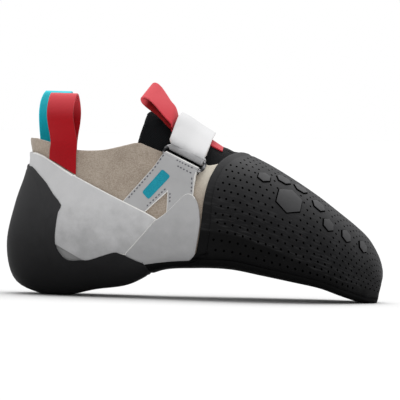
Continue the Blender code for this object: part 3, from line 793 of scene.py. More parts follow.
CREASES = [
    Mark(44, 92, 58, 86, 3.2, -0.7), Mark(50, 86, 66, 78, 3.6, 0.5), Mark(20, 88, 36, 78, 5.0, -0.5),
    Mark(30, 90, 44, 80, 4.5, 0.45), Mark(10, 86, 20, 78, 4.0, 0.4), Mark(86, 78, 92, 66, 2.6, -0.5),
    Mark(-12, 94, -4, 88, 3.0, -0.4),
]
ROWS = 110
COLUMNS = 150
RIM_ROWS = [0.0, 0.0035, 0.0085, 0.016]
RIM_DROPS = [0.5, 0.12, 0.0, 0.0]
RIM_LAST = len(RIM_ROWS) - 1
tip_run = run_of(TIP_PLACE)
upper_mesh = bmesh.new()
upper_mesh.verts.layers.float_vector.new("where")
upper_mesh.loops.layers.uv.new("pattern")
bmesh.ops.create_grid(upper_mesh, x_segments=COLUMNS, y_segments=ROWS, size=1.0)
for vert in upper_mesh.verts:
    column = (vert.co.x + 1) / 2
    row = round((vert.co.y + 1) / 2 * ROWS)
    if row > RIM_LAST:
        down = RIM_ROWS[-1] + (1 - RIM_ROWS[-1]) * (row - RIM_LAST) / (ROWS - RIM_LAST)
        drop = 0.0
    else:
        down = RIM_ROWS[row]
        drop = RIM_DROPS[row]
    place, turn = mouth_at(column)
    end_turn = -2 + 4 * column
    run = run_of(place) + (tip_run - run_of(place)) * down
    vert.co = Vector((run, girth_of(turn + (end_turn - turn) * soft_step(down)), -drop))
hidden = []
for face in upper_mesh.faces:
    middle = face.calc_center_median()
    if abs(turn_of(middle.y)) > HOLE and run_of(HOLE_START) < middle.x < run_of(HOLE_END):
        hidden.append(face)
bmesh.ops.delete(upper_mesh, geom=hidden, context="FACES")
lay(upper_mesh, -WALL, 0.0, worn_by(CREASES, 2))
piece("upper_suede", upper_mesh, [SUEDE], "upper", math.radians(70))

GRID = 2.5
GRID_X = ruled(0.0, tip_run, GRID)
GRID_Y = ruled(girth_of(-2.0), girth_of(4.0), GRID)

# Insole and outsole
INSOLE_START = 7.2
INSOLE_END = 20.6
INSOLE_RIM = ((0.4, 0.4), (0.5, 0.1))
insole_edge = FEATHER + 0.02
insole_outline = [
    (INSOLE_START, insole_edge), (INSOLE_END, insole_edge),
    (INSOLE_END, 4 - insole_edge), (INSOLE_START, 4 - insole_edge),
]
insole_mesh = pattern([insole_outline], INSOLE_RIM, GRID_X, GRID_Y)
lay(insole_mesh, -WALL - GAP, -WALL - GAP - INSOLE)
piece("insole_board", insole_mesh, [BOARD], "insole")

SOLE_EDGE = FEATHER - 0.012
SOLE_RIM = ((0.4, 1.6), (1.2, 1.2), (1.8, 0.5), (1.8, 0.1))
SOLE_START = 52.0
SOLE_EDGE_HIGH = GAP + SOLE_RUBBER - SOLE_RIM[0][1]
ARCH_END = 110.0
HEEL_END = 60.0
HEEL_SEAT = 1.2
SEAT_TURN = 0.1
SEAT_FADE = 1.5
SEAT_RAMP = 3.0
tucked_edge = chain(SOLE_UNDER_HEEL, True, 1, offset=SOLE_EDGE_HIGH)
arch_edge = chain(SOLE_TOP, True, 3, offset=SOLE_EDGE_HIGH)
sole_outer = behind(tucked_edge + arch_edge) + row_at(ARCH_END, [4 - SOLE_EDGE])
sole_inner = [(place, 4 - turn) for place, turn in sole_outer]
sole_rear = row_at(SOLE_START, [1.6 + 0.1 * count for count in range(9)])
sole_front = [(TIP_PLACE, 4 - SOLE_EDGE), (TIP_PLACE, SOLE_EDGE)]
sole_mesh = pattern([sole_inner[::-1] + sole_rear + sole_outer + sole_front], SOLE_RIM, GRID_X, GRID_Y)


def heel_seat(place, turn):
    """The sole thins where it tucks under the heel, but not along the edge that shows."""
    x = surface(place, turn).x
    inside = soft_step((arch_edge[0][1] + 2 - abs(turn - 2)) / SEAT_TURN)
    hidden_end = soft_step((SOLE_TOP[0][0] - x) / SEAT_FADE)
    return -HEEL_SEAT * max(inside, hidden_end) * soft_step((HEEL_END - x) / SEAT_RAMP)


lay(sole_mesh, GAP, GAP + SOLE_RUBBER, heel_seat, SOLE_FRONT)
piece("outsole_rubber", sole_mesh, [SOLE_BLACK], "outsole")

# Heel cup with a groove inside its rim and soft hollows
HEEL_BACK_Z = 82.0
HEEL_FRONT_X = 57.6
HEEL_FRONT_TURNS = [2.42, 2.3, 2.15, 2.0, 1.85, 1.7, 1.58]
HEEL_RIM = ((0.5, 0.8), (0.6, 0.2), (1.6, 0.0), (0.4, 0.3), (0.4, 0.0))
HOLLOWS = [
    Mark(-13.5, 60, -10.5, 22, 3.4, -1.2), Mark(-8.5, 56, -7.0, 34, 2.0, 0.6),
    Mark(12, 14.5, 38, 19, 2.6, -1.0), Mark(16, 9.6, 40, 12.6, 1.8, 0.5),
]
heel_edge = HEEL_REAR + HEEL_LOW
heel_outer = behind(chain(heel_edge, True, 2, offset=GAP + HEEL_RUBBER))
heel_inner = behind(chain(heel_edge, False, 2, offset=GAP + HEEL_RUBBER))
heel_front = row_at(HEEL_FRONT_X, HEEL_FRONT_TURNS)
heel_outline = [(back_place(HEEL_BACK_Z), 2.0)] + heel_outer + heel_front + heel_inner[::-1]
heel_mesh = pattern([heel_outline], HEEL_RIM, GRID_X, GRID_Y)
lay(heel_mesh, GAP, GAP + HEEL_RUBBER, worn_by(HOLLOWS, 3), SOLE_FRONT)
piece("heel_rubber", heel_mesh, [HEEL_BLACK], "heel_cup")

# Toe rubber with its rim, pits and raised pads
Pad = namedtuple("Pad", "x z size")
PADS = [
    Pad(128.5, 79.2, 4.2), Pad(141.0, 77.8, 4.8), Pad(144.8, 64.9, 8.9), Pad(152.0, 72.4, 4.8),
    Pad(163.7, 62.0, 4.8), Pad(170.1, 50.1, 4.5), Pad(181.8, 43.1, 4.3), Pad(193.0, 36.3, 4.0),
]
PATCH_HIGH = GAP + PATCH
PAD_LEAN = 0.14
PAD_SHADOW = 0.5
PAD_CLEAR = 1.6
PAD_RIM = ((0.2, 0.4), (0.4, 0.1))
PAD_WALL = -0.3
PAD_LOW = PATCH_HIGH - 0.8
PAD_SHADOW_HIGH = PATCH_HIGH + 0.05
PATCH_START = 84.0
PATCH_FAR_START = 80.0
PATCH_RIM = ((0.4, 0.6), (0.6, 0.15), (4.8, 0.0), (0.5, 0.7), (0.5, 0.0))
RIM_REACH = 9.0
PIT_X = 2.5
PIT_Y = 2.3
PIT_RADIUS = 0.74
PIT_INSET = 0.3
PIT_DEPTH = 1.0
PIT_LOW = 1.38
PIT_FRONT = 21.3
PIT_REACH = RIM_REACH - 1.0
CELL_ROWS = 40
WHOLE_CELL = 0.98
CELL_FILL = 0.44
STEP_DROP = 0.6
STEP_TURN = 0.06
STEP_END = 19.0
pad_spots = [spot(pad.x, pad.z, offset=PATCH_HIGH + PAD) for pad in PADS]
patch_outer = row_at(PATCH_START, [-FEATHER]) + chain(PATCH_REAR, True, 3, offset=PATCH_HIGH)
patch_inner = row_at(PATCH_FAR_START, [FEATHER])
patch_inner += chain(PATCH_FAR, False, 3, slide=PATCH_SLIDE, offset=PATCH_HIGH)
patch_mouth = patch_outer + notch_line(PATCH_HIGH, 0.0) + patch_inner[::-1]
patch_outline = patch_mouth + [(TIP_PLACE, FEATHER), (TIP_PLACE, -FEATHER)]
rear_line = [flat(*at) for at in patch_mouth]
pit_columns = ruled(0.0, tip_run, PIT_X)
pit_rows = [PIT_Y * count for count in range(-CELL_ROWS, CELL_ROWS + 1)]
patch_mesh = pattern([patch_outline], PATCH_RIM, pit_columns, pit_rows)
for vert in patch_mesh.verts:
    if vert.co.z < 0 and off_line(Vector((vert.co.x, vert.co.y, 0.0)), rear_line) > RIM_REACH:
        vert.co.z = 0.0


def slopes(place, turn):
    """How the skin moves for a step of place and for a step of turn."""
    step = 0.02
    by_place = (surface(place + step, turn) - surface(place - step, turn)) / (2 * step)
    by_turn = (surface(place, turn + step) - surface(place, turn - step)) / (2 * step)
    return by_place, by_turn


def stepped_off(at, move):
    """The spot reached from another by a short move along the skin."""
    by_place, by_turn = slopes(*at)
    mixed = by_place.dot(by_turn)
    area = by_place.length_squared * by_turn.length_squared - mixed * mixed
    along, around = move.dot(by_place), move.dot(by_turn)
    return (
        at[0] + (along * by_turn.length_squared - around * mixed) / area,
        at[1] + (around * by_place.length_squared - along * mixed) / area,
    )


def hexagon(at, radius):
    """The corners of a hexagon about a spot, with level edges above and below, leaning a little."""
    normal = normal_at(*at)
    level_way = normal.cross(Vector((0.0, 0.0, 1.0))).normalized()
    steep_way = normal.cross(level_way)
    if steep_way.z < 0:
        steep_way = -steep_way
    if level_way.x > 0:
        level_way = -level_way
    steep_way += level_way * PAD_LEAN
    corners = []
    for count in range(6):
        angle = math.radians(60 * count)
        way = level_way * math.cos(angle) + steep_way * math.sin(angle)
        corners.append(stepped_off(at, way * radius))
    return corners


def clear_of_pads(at):
    """Whether a spot is far enough from every pad for a pit."""
    point = surface(*at)
    for pad, other in zip(PADS, pad_spots):
        if (point - surface(*other)).length <= pad.size + PAD_CLEAR:
            return False
    return True


def is_pit(face):
    """Whether a face is a whole cell of the pattern's grid where a pit goes."""
    middle = face.calc_center_median()
    if len(face.verts) != 4 or face.calc_area() < WHOLE_CELL * PIT_X * PIT_Y:
        return False
    at = (place_of(middle.x), turn_of(middle.y))
    column, row = math.floor(middle.x / PIT_X), math.floor(middle.y / PIT_Y)
    if row % 2 or (column + row // 2) % 2 or at[0] > PIT_FRONT or abs(at[1]) > PIT_LOW:
        return False
    return off_line(middle, rear_line) > PIT_REACH and clear_of_pads(at)


pits = [face for face in patch_mesh.faces if is_pit(face)]
bmesh.ops.inset_individual(patch_mesh, faces=pits, thickness=PIT_INSET, use_even_offset=True)
pit_edges = list({edge for pit in pits for edge in pit.edges})
bmesh.ops.subdivide_edges(patch_mesh, edges=pit_edges, cuts=1)
for pit in pits:
    middle = pit.calc_center_median()
    first = pit.verts[0].co - middle
    start = math.atan2(first.y, first.x)
    along, around = (way.length for way in slopes(place_of(middle.x), turn_of(middle.y)))
    along *= place_of(middle.x + 0.5) - place_of(middle.x - 0.5)
    around *= turn_of(middle.y + 0.5) - turn_of(middle.y - 0.5)
    for index, vert in enumerate(pit.verts):
        angle = start + 2 * math.pi * index / len(pit.verts)
        vert.co.x = middle.x + min(PIT_RADIUS / along, CELL_FILL * PIT_X) * math.cos(angle)
        vert.co.y = middle.y + min(PIT_RADIUS / around, CELL_FILL * PIT_Y) * math.sin(angle)
# The pits' walls and floors take the near-black finish as painted shade
sunk = bmesh.ops.extrude_face_region(patch_mesh, geom=pits)["geom"]
for item in sunk:
    if isinstance(item, bmesh.types.BMVert):
        item.co.z -= PIT_DEPTH
        for face in item.link_faces:
            face.material_index = 1
bmesh.ops.delete(patch_mesh, geom=[pit for pit in pits if pit.is_valid], context="FACES_ONLY")
step_spots = chain(PATCH_STEP, True, 2, offset=PATCH_HIGH)


def past_step(place, turn):
    """How far a spot lies below the step line, as a turn."""
    return abs(turn) - abs(line_at(step_spots, place))


def stepped(place, turn):
    """The textured field stands a little above the smooth band below its step line."""
    if place >= STEP_END:
        return 0.0
    return -STEP_DROP * soft_step(past_step(place, turn) / STEP_TURN)


lay(patch_mesh, GAP, PATCH_HIGH, stepped, PATCH_FRONT)
patch_where = patch_mesh.verts.layers.float_vector["where"]
below_step = patch_mesh.verts.layers.float.new("below_step")
for vert in patch_mesh.verts:
    place, turn, _ = vert[patch_where]
    vert[below_step] = past_step(place, turn)
pad_outlines = [hexagon(at, pad.size) for pad, at in zip(PADS, pad_spots)]
pad_mesh = pattern(pad_outlines, PAD_RIM, GRID_X, GRID_Y)
lay(pad_mesh, PAD_LOW, PATCH_HIGH + PAD)
pad_where = pad_mesh.verts.layers.float_vector["where"]
# The pads' walls take the near-black finish as painted shade; their tops take the pad rubber
for face in pad_mesh.faces:
    wall = any(vert[pad_where].z < PAD_WALL for vert in face.verts)
    face.material_index = 1 if wall else 2
# A near-black sheet a little wider than each pad, lying just above the toe rubber, paints the shadow round
# the pad
pad_shadow_outlines = [hexagon(at, pad.size + PAD_SHADOW) for pad, at in zip(PADS, pad_spots)]
pad_shadow_mesh = pattern(pad_shadow_outlines, (), GRID_X, GRID_Y)
lay(pad_shadow_mesh, PAD_LOW, PAD_SHADOW_HIGH)
for face in pad_shadow_mesh.faces:
    face.material_index = 1


def joined(mesh, other):
    """Adds another mesh to a mesh."""
    data = bpy.data.meshes.new("joined")
    other.to_mesh(data)
    other.free()
    mesh.from_mesh(data)
    bpy.data.meshes.remove(data)
    return mesh


joined(patch_mesh, pad_mesh)
joined(patch_mesh, pad_shadow_mesh)
piece("toe_rubber", patch_mesh, [TOE_BLACK, SHADE_BLACK, PAD_BLACK], "toe_patch")

# Grey panels, with their pale cut edges
PANEL_RIM = ((0.45, 0.35), (0.4, 0.05))
PANEL_TUCK = 0.03
PANEL_HIGH = GAP + PANEL
SIDE_HIGH = PANEL_HIGH + 0.25
QUARTER_HIGH = PANEL_HIGH + 0.5
QUARTER_BACK_HIGH = 90.0
QUARTER_BACK_LOW = 80.6
EDGE_LEVEL = -0.2
EDGE_REACH = 2.0


def edged(mesh, low, high, relief=None, pale=()):
    """A laid panel whose rim takes the cut edge's finish, along the pale lines if any are given."""
    lay(mesh, low, high, relief)
    where = mesh.verts.layers.float_vector["where"]
    lines = [[flat(*at) for at in line] for line in pale]
    for face in mesh.faces:
        if any(vert[where].z < EDGE_LEVEL for vert in face.verts):
            point = flat(*face.verts[0][where][:2])
            if not lines or any(off_line(point, line) < EDGE_REACH for line in lines):
                face.material_index = 1
    return mesh


def quarter_side(outer):
    """The spots of the quarter's outline on one side, from its top at the back round to its low end."""
    edges = ((QUARTER_TOP, 2), (QUARTER_FRONT, 1), (QUARTER_LOW, 1), (QUARTER_REAR, 2))
    return [at for points, steps in edges for at in chain(points, outer, steps, offset=QUARTER_HIGH)]


quarter_outline = (
    [(back_place(QUARTER_BACK_HIGH), 2.0)] + behind(quarter_side(True))
    + [(back_place(QUARTER_BACK_LOW), 2.0)] + behind(quarter_side(False))[::-1]
)
quarter_mesh = pattern([quarter_outline], PANEL_RIM, GRID_X, GRID_Y)
pale_edge = QUARTER_TOP + QUARTER_FRONT[:1]
pale_lines = [behind(chain(pale_edge, outer, 1, offset=QUARTER_HIGH)) for outer in (True, False)]
edged(quarter_mesh, GAP, QUARTER_HIGH, None, pale_lines)
piece("quarter_panel_grey", quarter_mesh, [GREY, PALE_EDGE_AND_HIGHLIGHT], "quarter_panel")

for outer, name in ((True, "side_panel_outer"), (False, "side_panel_inner")):
    slide = 0.0 if outer else PATCH_SLIDE
    side = -1 if outer else 1
    foot = [(place, -side * (turn - PANEL_TUCK)) for place, turn in arch_edge[-4::-1]]
    outline = (
        chain(SIDE_TOP[:3], outer, 3, offset=SIDE_HIGH)
        + chain(SIDE_TOP[2:], outer, 3, slide=slide, offset=SIDE_HIGH)[1:]
        + chain(SIDE_FRONT, outer, 2, slide=slide, offset=SIDE_HIGH) + foot
        + chain(SIDE_REAR, outer, 2, offset=SIDE_HIGH)
    )
    mesh = pattern([outline], PANEL_RIM, GRID_X, GRID_Y)
    edged(mesh, GAP, SIDE_HIGH, None, [chain(SIDE_TOP[:-2], outer, 3, offset=SIDE_HIGH)])
    piece(name + "_grey", mesh, [GREY_SIDE, PALE_EDGE_AND_HIGHLIGHT], name)

# Ring, its two bars along the strap's end
CORNER_STEPS = 8
ring_place, ring_turn = spot(*RING_AT, offset=RING_LIFT)
ring_normal = normal_at(ring_place, ring_turn)
ring_middle = skin(ring_place, ring_turn, RING_LIFT)
bar_way = (BAR_SLOPE - Vector((0.0, BAR_SLOPE.dot(ring_normal) / ring_normal.y, 0.0))).normalized()
rise_way = ring_normal.cross(bar_way).normalized()
rise_way = rise_way if rise_way.z > 0 else -rise_way
half_bar = RING_LENGTH / 2
half_rise = RING_HEIGHT / 2
ring_frame = Matrix((bar_way, rise_way, bar_way.cross(rise_way))).transposed().to_4x4()
ring_frame.translation = ring_middle
wire = bpy.data.curves.new("ring_path", "CURVE")
wire.dimensions = "3D"
wire.bevel_depth = WIRE_RADIUS
wire.bevel_resolution = 5
spline = wire.splines.new("POLY")
ring_path = []
for sign_along, sign_rise, turn_start in ((1, 1, 0), (-1, 1, 90), (-1, -1, 180), (1, -1, 270)):
    for step in range(CORNER_STEPS + 1):
        angle = math.radians(turn_start + 90 * step / CORNER_STEPS)
        along = sign_along * (half_bar - RING_CORNER) + RING_CORNER * math.cos(angle)
        across = sign_rise * (half_rise - RING_CORNER) + RING_CORNER * math.sin(angle)
        ring_path.append((along, across, 0.0, 1.0))
spline.points.add(len(ring_path) - 1)
for point, at in zip(spline.points, ring_path):
    point.co = at
spline.use_cyclic_u = True
ring_form = bpy.data.objects.new("ring_form", wire)
ring_mesh = bmesh.new()
ring_data = bpy.data.meshes.new_from_object(ring_form)
ring_mesh.from_mesh(ring_data)
bpy.data.objects.remove(ring_form)
bpy.data.curves.remove(wire)
bpy.data.meshes.remove(ring_data)
bmesh.ops.transform(ring_mesh, verts=ring_mesh.verts, matrix=Matrix.Scale(MM, 4) @ ring_frame)
bmesh.ops.recalc_face_normals(ring_mesh, faces=ring_mesh.faces)
piece("wire_ring", ring_mesh, [STEEL], "ring")

# Folds round the ring's bars
FOLD_REACH = 0.6
FOLD_HALF = 12.6
FOLD_ROUND = 0.4
FOLD_STEPS = 40
FOLD_MERGE = 0.001
FOLD_TOP = RING_LIFT + math.sqrt(FOLD_OUTER ** 2 - FOLD_REACH ** 2)
FOLD_LOW = FOLD_TOP - 1.0
FLUSH_REACH = 1.2
HIGHLIGHT_SLOPE = 0.5
BAR_STEPS = 6


def flush(mesh, line):
    """Takes the rim's drop away along a line where the piece runs on into a fold."""
    for vert in mesh.verts:
        if off_line(Vector((vert.co.x, vert.co.y, 0.0)), line) < FLUSH_REACH:
            vert.co.z = 0.0
    return mesh


def sleeve(rise):
    """A rolled fold round one bar of the ring, with a painted highlight on top of the lower one."""
    mesh = bmesh.new()
    half = FOLD_HALF
    side = FOLD_OUTER - FOLD_ROUND
    corners = [(-half, FOLD_INNER), (half, FOLD_INNER), (half, side), (half - FOLD_ROUND, FOLD_OUTER)]
    corners += [(FOLD_ROUND - half, FOLD_OUTER), (-half, side)]
    face = mesh.faces.new([mesh.verts.new((along, out, 0.0)) for along, out in corners])
    parts = [face] + list(face.edges) + list(face.verts)
    bmesh.ops.spin(
        mesh, geom=parts, cent=(0, 0, 0), axis=(1, 0, 0), angle=2 * math.pi, steps=FOLD_STEPS,
        use_merge=True, use_duplicate=False,
    )
    bmesh.ops.delete(mesh, geom=[item for item in mesh.faces if len(item.verts) > 4], context="FACES_ONLY")
    bmesh.ops.remove_doubles(mesh, verts=mesh.verts, dist=FOLD_MERGE)
    bmesh.ops.recalc_face_normals(mesh, faces=mesh.faces)
    for face in mesh.faces:
        middle = face.calc_center_median()
        # Upward faces of the lower fold take the pale edge's finish as a painted highlight
        painted_light = face.normal.y > HIGHLIGHT_SLOPE and math.hypot(middle.y, middle.z) > side
        face.material_index = 1 if painted_light and rise < 0 else 0
    lift = Matrix.Translation((0.0, rise, 0.0))
    bmesh.ops.transform(mesh, verts=mesh.verts, matrix=Matrix.Scale(MM, 4) @ ring_frame @ lift)
    return mesh


def bar_spots(rise):
    """Spots along a line beside one of the ring's bars, from its rear end to its front end."""
    spots = []
    for count in range(2 * BAR_STEPS + 1):
        along = FOLD_HALF * (count / BAR_STEPS - 1)
        point = ring_middle + bar_way * along + rise_way * rise
        spots.append(spot(point.x, point.z, offset=RING_LIFT))
    return spots


# Strap base, an inverted V folded round the ring's lower bar
FINE_GRID = 1.6
FINE_X = ruled(0.0, tip_run, FINE_GRID)
FINE_Y = ruled(girth_of(-2.0), girth_of(2.0), FINE_GRID)
BASE_TOP_BLEND = 9.0
BASE_LOW_BLEND = 5.0
base_fold = bar_spots(-half_rise - FOLD_REACH)
base_end = [flat(*at) for at in base_fold]


def near_fold(place, turn, fold, blend):
    """1 at a fold's line, falling to 0 where the blend ends."""
    return soft_step(1.0 - off_line(flat(place, turn), fold) / blend)


def base_lift(place, turn):
    """How far the base rises to its fold."""
    return (FOLD_TOP - PANEL_HIGH) * near_fold(place, turn, base_end, BASE_TOP_BLEND)


def base_low(place, turn):
    """The base's underside, which rises with it."""
    return GAP + (FOLD_LOW - GAP) * near_fold(place, turn, base_end, BASE_LOW_BLEND)


base_outline = base_fold + [spot(x, z, offset=PANEL_HIGH) for x, z in straight(BASE_V)]
base_mesh = flush(pattern([base_outline], PANEL_RIM, FINE_X, FINE_Y), base_end)
edged(base_mesh, base_low, PANEL_HIGH, base_lift)
joined(base_mesh, sleeve(-half_rise))
piece("strap_base_grey", base_mesh, [GREY_SIDE, PALE_EDGE_AND_HIGHLIGHT], "strap_base")

# Black sheet on the upper behind the ring, painted shade in the gap between the folds
GAP_SHADE = 0.6
GAP_SHADE_EDGE = 1.0
GAP_SHADE_RIM = ((0.3, 0.3), (0.3, 0.0))
gap_shade_outline = bar_spots(-half_rise - GAP_SHADE_EDGE) + bar_spots(half_rise + GAP_SHADE_EDGE)[::-1]
gap_shade_mesh = pattern([gap_shade_outline], GAP_SHADE_RIM, FINE_X, FINE_Y)
lay(gap_shade_mesh, GAP / 2, GAP + GAP_SHADE)
piece("ring_gap_shade", gap_shade_mesh, [KNIT], None)

# Tongue, and the strap across it
TONGUE_LOW = -WALL - GAP - TONGUE
TONGUE_SIDE = [(60, 84), (72, 80), (84, 76), (94, 76), (108, 81)]
TONGUE_REAR = [(45.6, 88), (48.9, 101.6), (51.2, 109.0), (53.2, 116.0)]
TONGUE_TOP = [(1.2, 0.0)]
TONGUE_FRONT = [(13.3, 0.5), (13.5, 0.2), (13.5, -0.2), (13.3, -0.5)]
TONGUE_RIM = ((0.6, 0.9), (0.8, 0.3), (1.2, 0.0))
tongue_outline = (
    chain(TONGUE_REAR, True, 3, offset=TONGUE_LOW) + TONGUE_TOP
    + chain(TONGUE_REAR, False, 3, offset=TONGUE_LOW)[::-1]
    + chain(TONGUE_SIDE, False, 3, offset=TONGUE_LOW) + TONGUE_FRONT
    + chain(TONGUE_SIDE, True, 3, offset=TONGUE_LOW)[::-1]
)
tongue_mesh = pattern([tongue_outline], TONGUE_RIM, GRID_X, GRID_Y)
lay(tongue_mesh, TONGUE_LOW, -WALL - GAP)
piece("tongue_knit", tongue_mesh, [KNIT], "tongue")

STRAP_HIGH = STRAP_LIFT + STRAP
STRAP_RIM = ((0.3, 0.5), (0.5, 0.1))
STRAP_WALL = -0.4
STRAP_HEM = 2.0
STRAP_LOW_BLEND = 6.0
STRAP_TOP_BLEND = 16.0
STRAP_SHADE = 0.010
STRAP_CREST = 1.3
CREST_FRONT = 10.6
CREST_FADE = 2.6
CREST_HALF = 0.5
STRAP_DOWN = 0.6
STRAP_FADE = 0.9
STRAP_REAR = [(68.2, 101.2), (73.2, 115.6)]
STRAP_FRONT = [(90.4, 89.2), (95.6, 102.4)]
STRAP_FAR_REAR = [(72.4, 111.8), (62.5, 84)]
STRAP_FAR_FRONT = [(94.0, 98.6), (84.5, 72)]


def strap_lift(place, turn):
    """How high the strap runs above the upper: highest over the tongue's rear, low at its far end."""
    crest = soft_step((CREST_FRONT - place) / CREST_FADE) * soft_step(1.0 - abs(turn) / CREST_HALF)
    raised = soft_step((STRAP_DOWN - turn) / STRAP_FADE)
    return GAP + (STRAP_LIFT - GAP) * raised + STRAP_CREST * crest


def strap_edge(points, outer):
    """Spots under the strap's straight edge between two side points."""
    spots = []
    for x, z in straight(points):
        at = spot(x, z, outer, offset=STRAP_HIGH, guess=spots[-1] if spots else None)
        for _ in range(3):
            at = spot(x, z, outer, offset=STRAP + strap_lift(*at), guess=at)
        spots.append(at)
    return spots


strap_fold = bar_spots(half_rise + FOLD_REACH)
strap_end = [flat(*at) for at in strap_fold]
strap_outline = (
    strap_fold[::-1] + strap_edge(STRAP_REAR, True) + strap_edge(STRAP_FAR_REAR, False)
    + strap_edge(STRAP_FAR_FRONT, False)[::-1] + strap_edge(STRAP_FRONT, True)[::-1]
)


def strap_low(place, turn):
    """The strap's underside, which drops into its fold."""
    fold = near_fold(place, turn, strap_end, STRAP_LOW_BLEND)
    return strap_lift(place, turn) + (FOLD_LOW - STRAP_LIFT) * fold


def strap_top(place, turn):
    """The strap's lift, which runs on into its fold's top."""
    fold = near_fold(place, turn, strap_end, STRAP_TOP_BLEND)
    return strap_lift(place, turn) + (FOLD_TOP - STRAP_HIGH) * fold


strap_mesh = flush(pattern([strap_outline], STRAP_RIM, FINE_X, FINE_Y), strap_end)
lay(strap_mesh, strap_low, STRAP, strap_top)
strap_where = strap_mesh.verts.layers.float_vector["where"]
for face in strap_mesh.faces:
    away = off_line(flat(*face.verts[0][strap_where][:2]), strap_end)
    if away > STRAP_HEM and any(vert[strap_where].z < STRAP_WALL for vert in face.verts):
        face.material_index = 1
joined(strap_mesh, sleeve(half_rise))
strap_level = ring_middle.dot(rise_way) * MM
WHITE = strap_cloth(
    "white_strap", colour(150, 150, 152), colour(226, 226, 227),
    rise_way, strap_level, strap_level + STRAP_SHADE,
)
piece("strap_white", strap_mesh, [WHITE, STRAP_EDGE], "strap")

# Ribbons, each as rows of points across its width
SPREAD = (-1.0, -0.5, 0.0, 0.5, 1.0)
EDGE_ROUND = 0.25


def band(rows, length_steps, width_steps, width):
    """A ribbon through rows of points, with its weave's coordinates in its map."""
    mesh = bmesh.new()
    weave = mesh.loops.layers.uv.new("pattern")
    bmesh.ops.create_grid(mesh, x_segments=width_steps, y_segments=length_steps, size=1.0)
    runs = lengths([row[2] for row in rows])
    for face in mesh.faces:
        for loop in face.loops:
            loop[weave].uv = (loop.vert.co.x / 2 * width * MM, (loop.vert.co.y + 1) / 2 * runs[-1] * MM)
    for vert in mesh.verts:
        index, share = bracket(runs, (vert.co.y + 1) / 2 * runs[-1])
        across = (vert.co.x + 1) / 2 * (len(rows[0]) - 1)
        column = min(int(across), len(rows[0]) - 2)
        sides = []
        for row in neighbours(rows, index):
            sides.append(between(*neighbours(row, column), across - column))
        vert.co = between(*sides, share) * MM
    return mesh, runs[-1]


def thicken(made, depth):
    """Gives a ribbon its thickness and soft edges."""
    solidify = made.modifiers.new("thickness", "SOLIDIFY")
    solidify.thickness = depth * MM
    solidify.offset = 0.0
    bevel = made.modifiers.new("soft_edge", "BEVEL")
    bevel.width = EDGE_ROUND * MM
    bevel.segments = 2
    bevel.limit_method = "ANGLE"


HEEL_LOOP_WIDTH = 16.6
HEEL_LOOP_STEPS = (120, 16)
LOOP_LEAVES = 94.0
SEWN_OUT = 0.9
SEWN_SHARES = (0.0, 0.35, 0.7)
LoopRow = namedtuple("LoopRow", "out z red_swing teal_swing")

# Rows of a heel loop: how far out it stands, its height, and how far each ribbon swings to the toe.
HEEL_LOOP = [
    LoopRow(0.9, 96.0, 0.0, 0.0), LoopRow(2.2, 101.0, -0.6, 0.4), LoopRow(4.4, 107.0, -1.8, 1.4),
    LoopRow(6.0, 113.0, -2.7, 2.6), LoopRow(6.0, 118.6, -2.6, 3.4), LoopRow(4.8, 123.4, -1.9, 3.2),
    LoopRow(2.4, 126.6, -1.1, 2.8), LoopRow(-0.8, 127.4, -0.4, 2.3), LoopRow(-4.0, 126.0, 0.4, 1.2),
    LoopRow(-6.2, 121.6, 1.3, -0.4), LoopRow(-6.8, 115.4, 1.9, -1.2), LoopRow(-6.2, 109.0, 1.6, -1.1),
    LoopRow(-4.6, 103.0, 0.8, -0.6), LoopRow(-3.2, 97.0, 0.2, 0.0), LoopRow(-2.75, 90.0, 0.0, 0.0),
    LoopRow(-2.75, 84.0, 0.0, 0.0),
]


def heel_loop(name, outer, middle_x, swing, stretch, finish, node):
    """A ribbon sewn up the heel, round in a loop and down inside the collar."""
    side = -1.0 if outer else 1.0
    columns = [middle_x + HEEL_LOOP_WIDTH / 2 * share for share in SPREAD]
    rows = []
    for share in SEWN_SHARES:
        row = []
        for x in columns:
            low = line_at(QUARTER_TOP, x) + SEAM + GAP
            row.append(skin(*spot(x, low + (LOOP_LEAVES - low) * share, outer), SEWN_OUT))
        rows.append(row)
    for step in HEEL_LOOP:
        row = []
        for x in columns:
            wall = surface(*spot(x, min(step.z, LOOP_LEAVES), outer))
            height = max(step.z - LOOP_LEAVES, 0.0) * stretch
            row.append(wall + Vector((getattr(step, swing), side * step.out, height)))
        rows.append(row)
    mesh, length = band(rows, *HEEL_LOOP_STEPS, HEEL_LOOP_WIDTH)
    made = piece(name, mesh, [finish], node)
    thicken(made, RIBBON)
    return made


heel_loop("heel_loop_red", True, 1.5, "red_swing", 1.0, RED, "pull_loop_outer")
heel_loop("heel_loop_teal", False, -6.0, "teal_swing", 1.035, TEAL, "pull_loop_inner")

# Tongue ribbon: rows of its loop as (x, z, lean), and the places where it is sewn to the tongue
RIBBON_LOOP = [
    (70.0, 115.2, 0.17), (66.1, 119.8, 0.22), (60.7, 126.6, 0.33), (57.7, 129.6, 0.40), (55.9, 130.8, 0.43),
    (53.9, 131.2, 0.47), (52.6, 130.2, 0.49), (53.4, 127.6, 0.47), (56.8, 124.4, 0.39), (61.0, 121.2, 0.30),
    (64.6, 117.8, 0.24), (67.6, 114.4, 0.20), (70.4, 111.8, 0.17),
]
RIBBON_STEPS = (140, 14)
RIBBON_SEWN = [11.85, 11.4, 11.0, 10.3, 9.6, 8.9, 8.2, 7.5]
RIBBON_TIP = len(RIBBON_SEWN) + 7
RIBBON_TURN = -0.12
RIBBON_HALF = 7.5
RIBBON_MIDDLE_Y = -6.4
RIBBON_ACROSS_Y = 0.68
RIBBON_ACROSS_Z = 0.66
TURN_STEP = 0.05
ribbon_lift = RIBBON / 2 - WALL
ribbon_rows = []
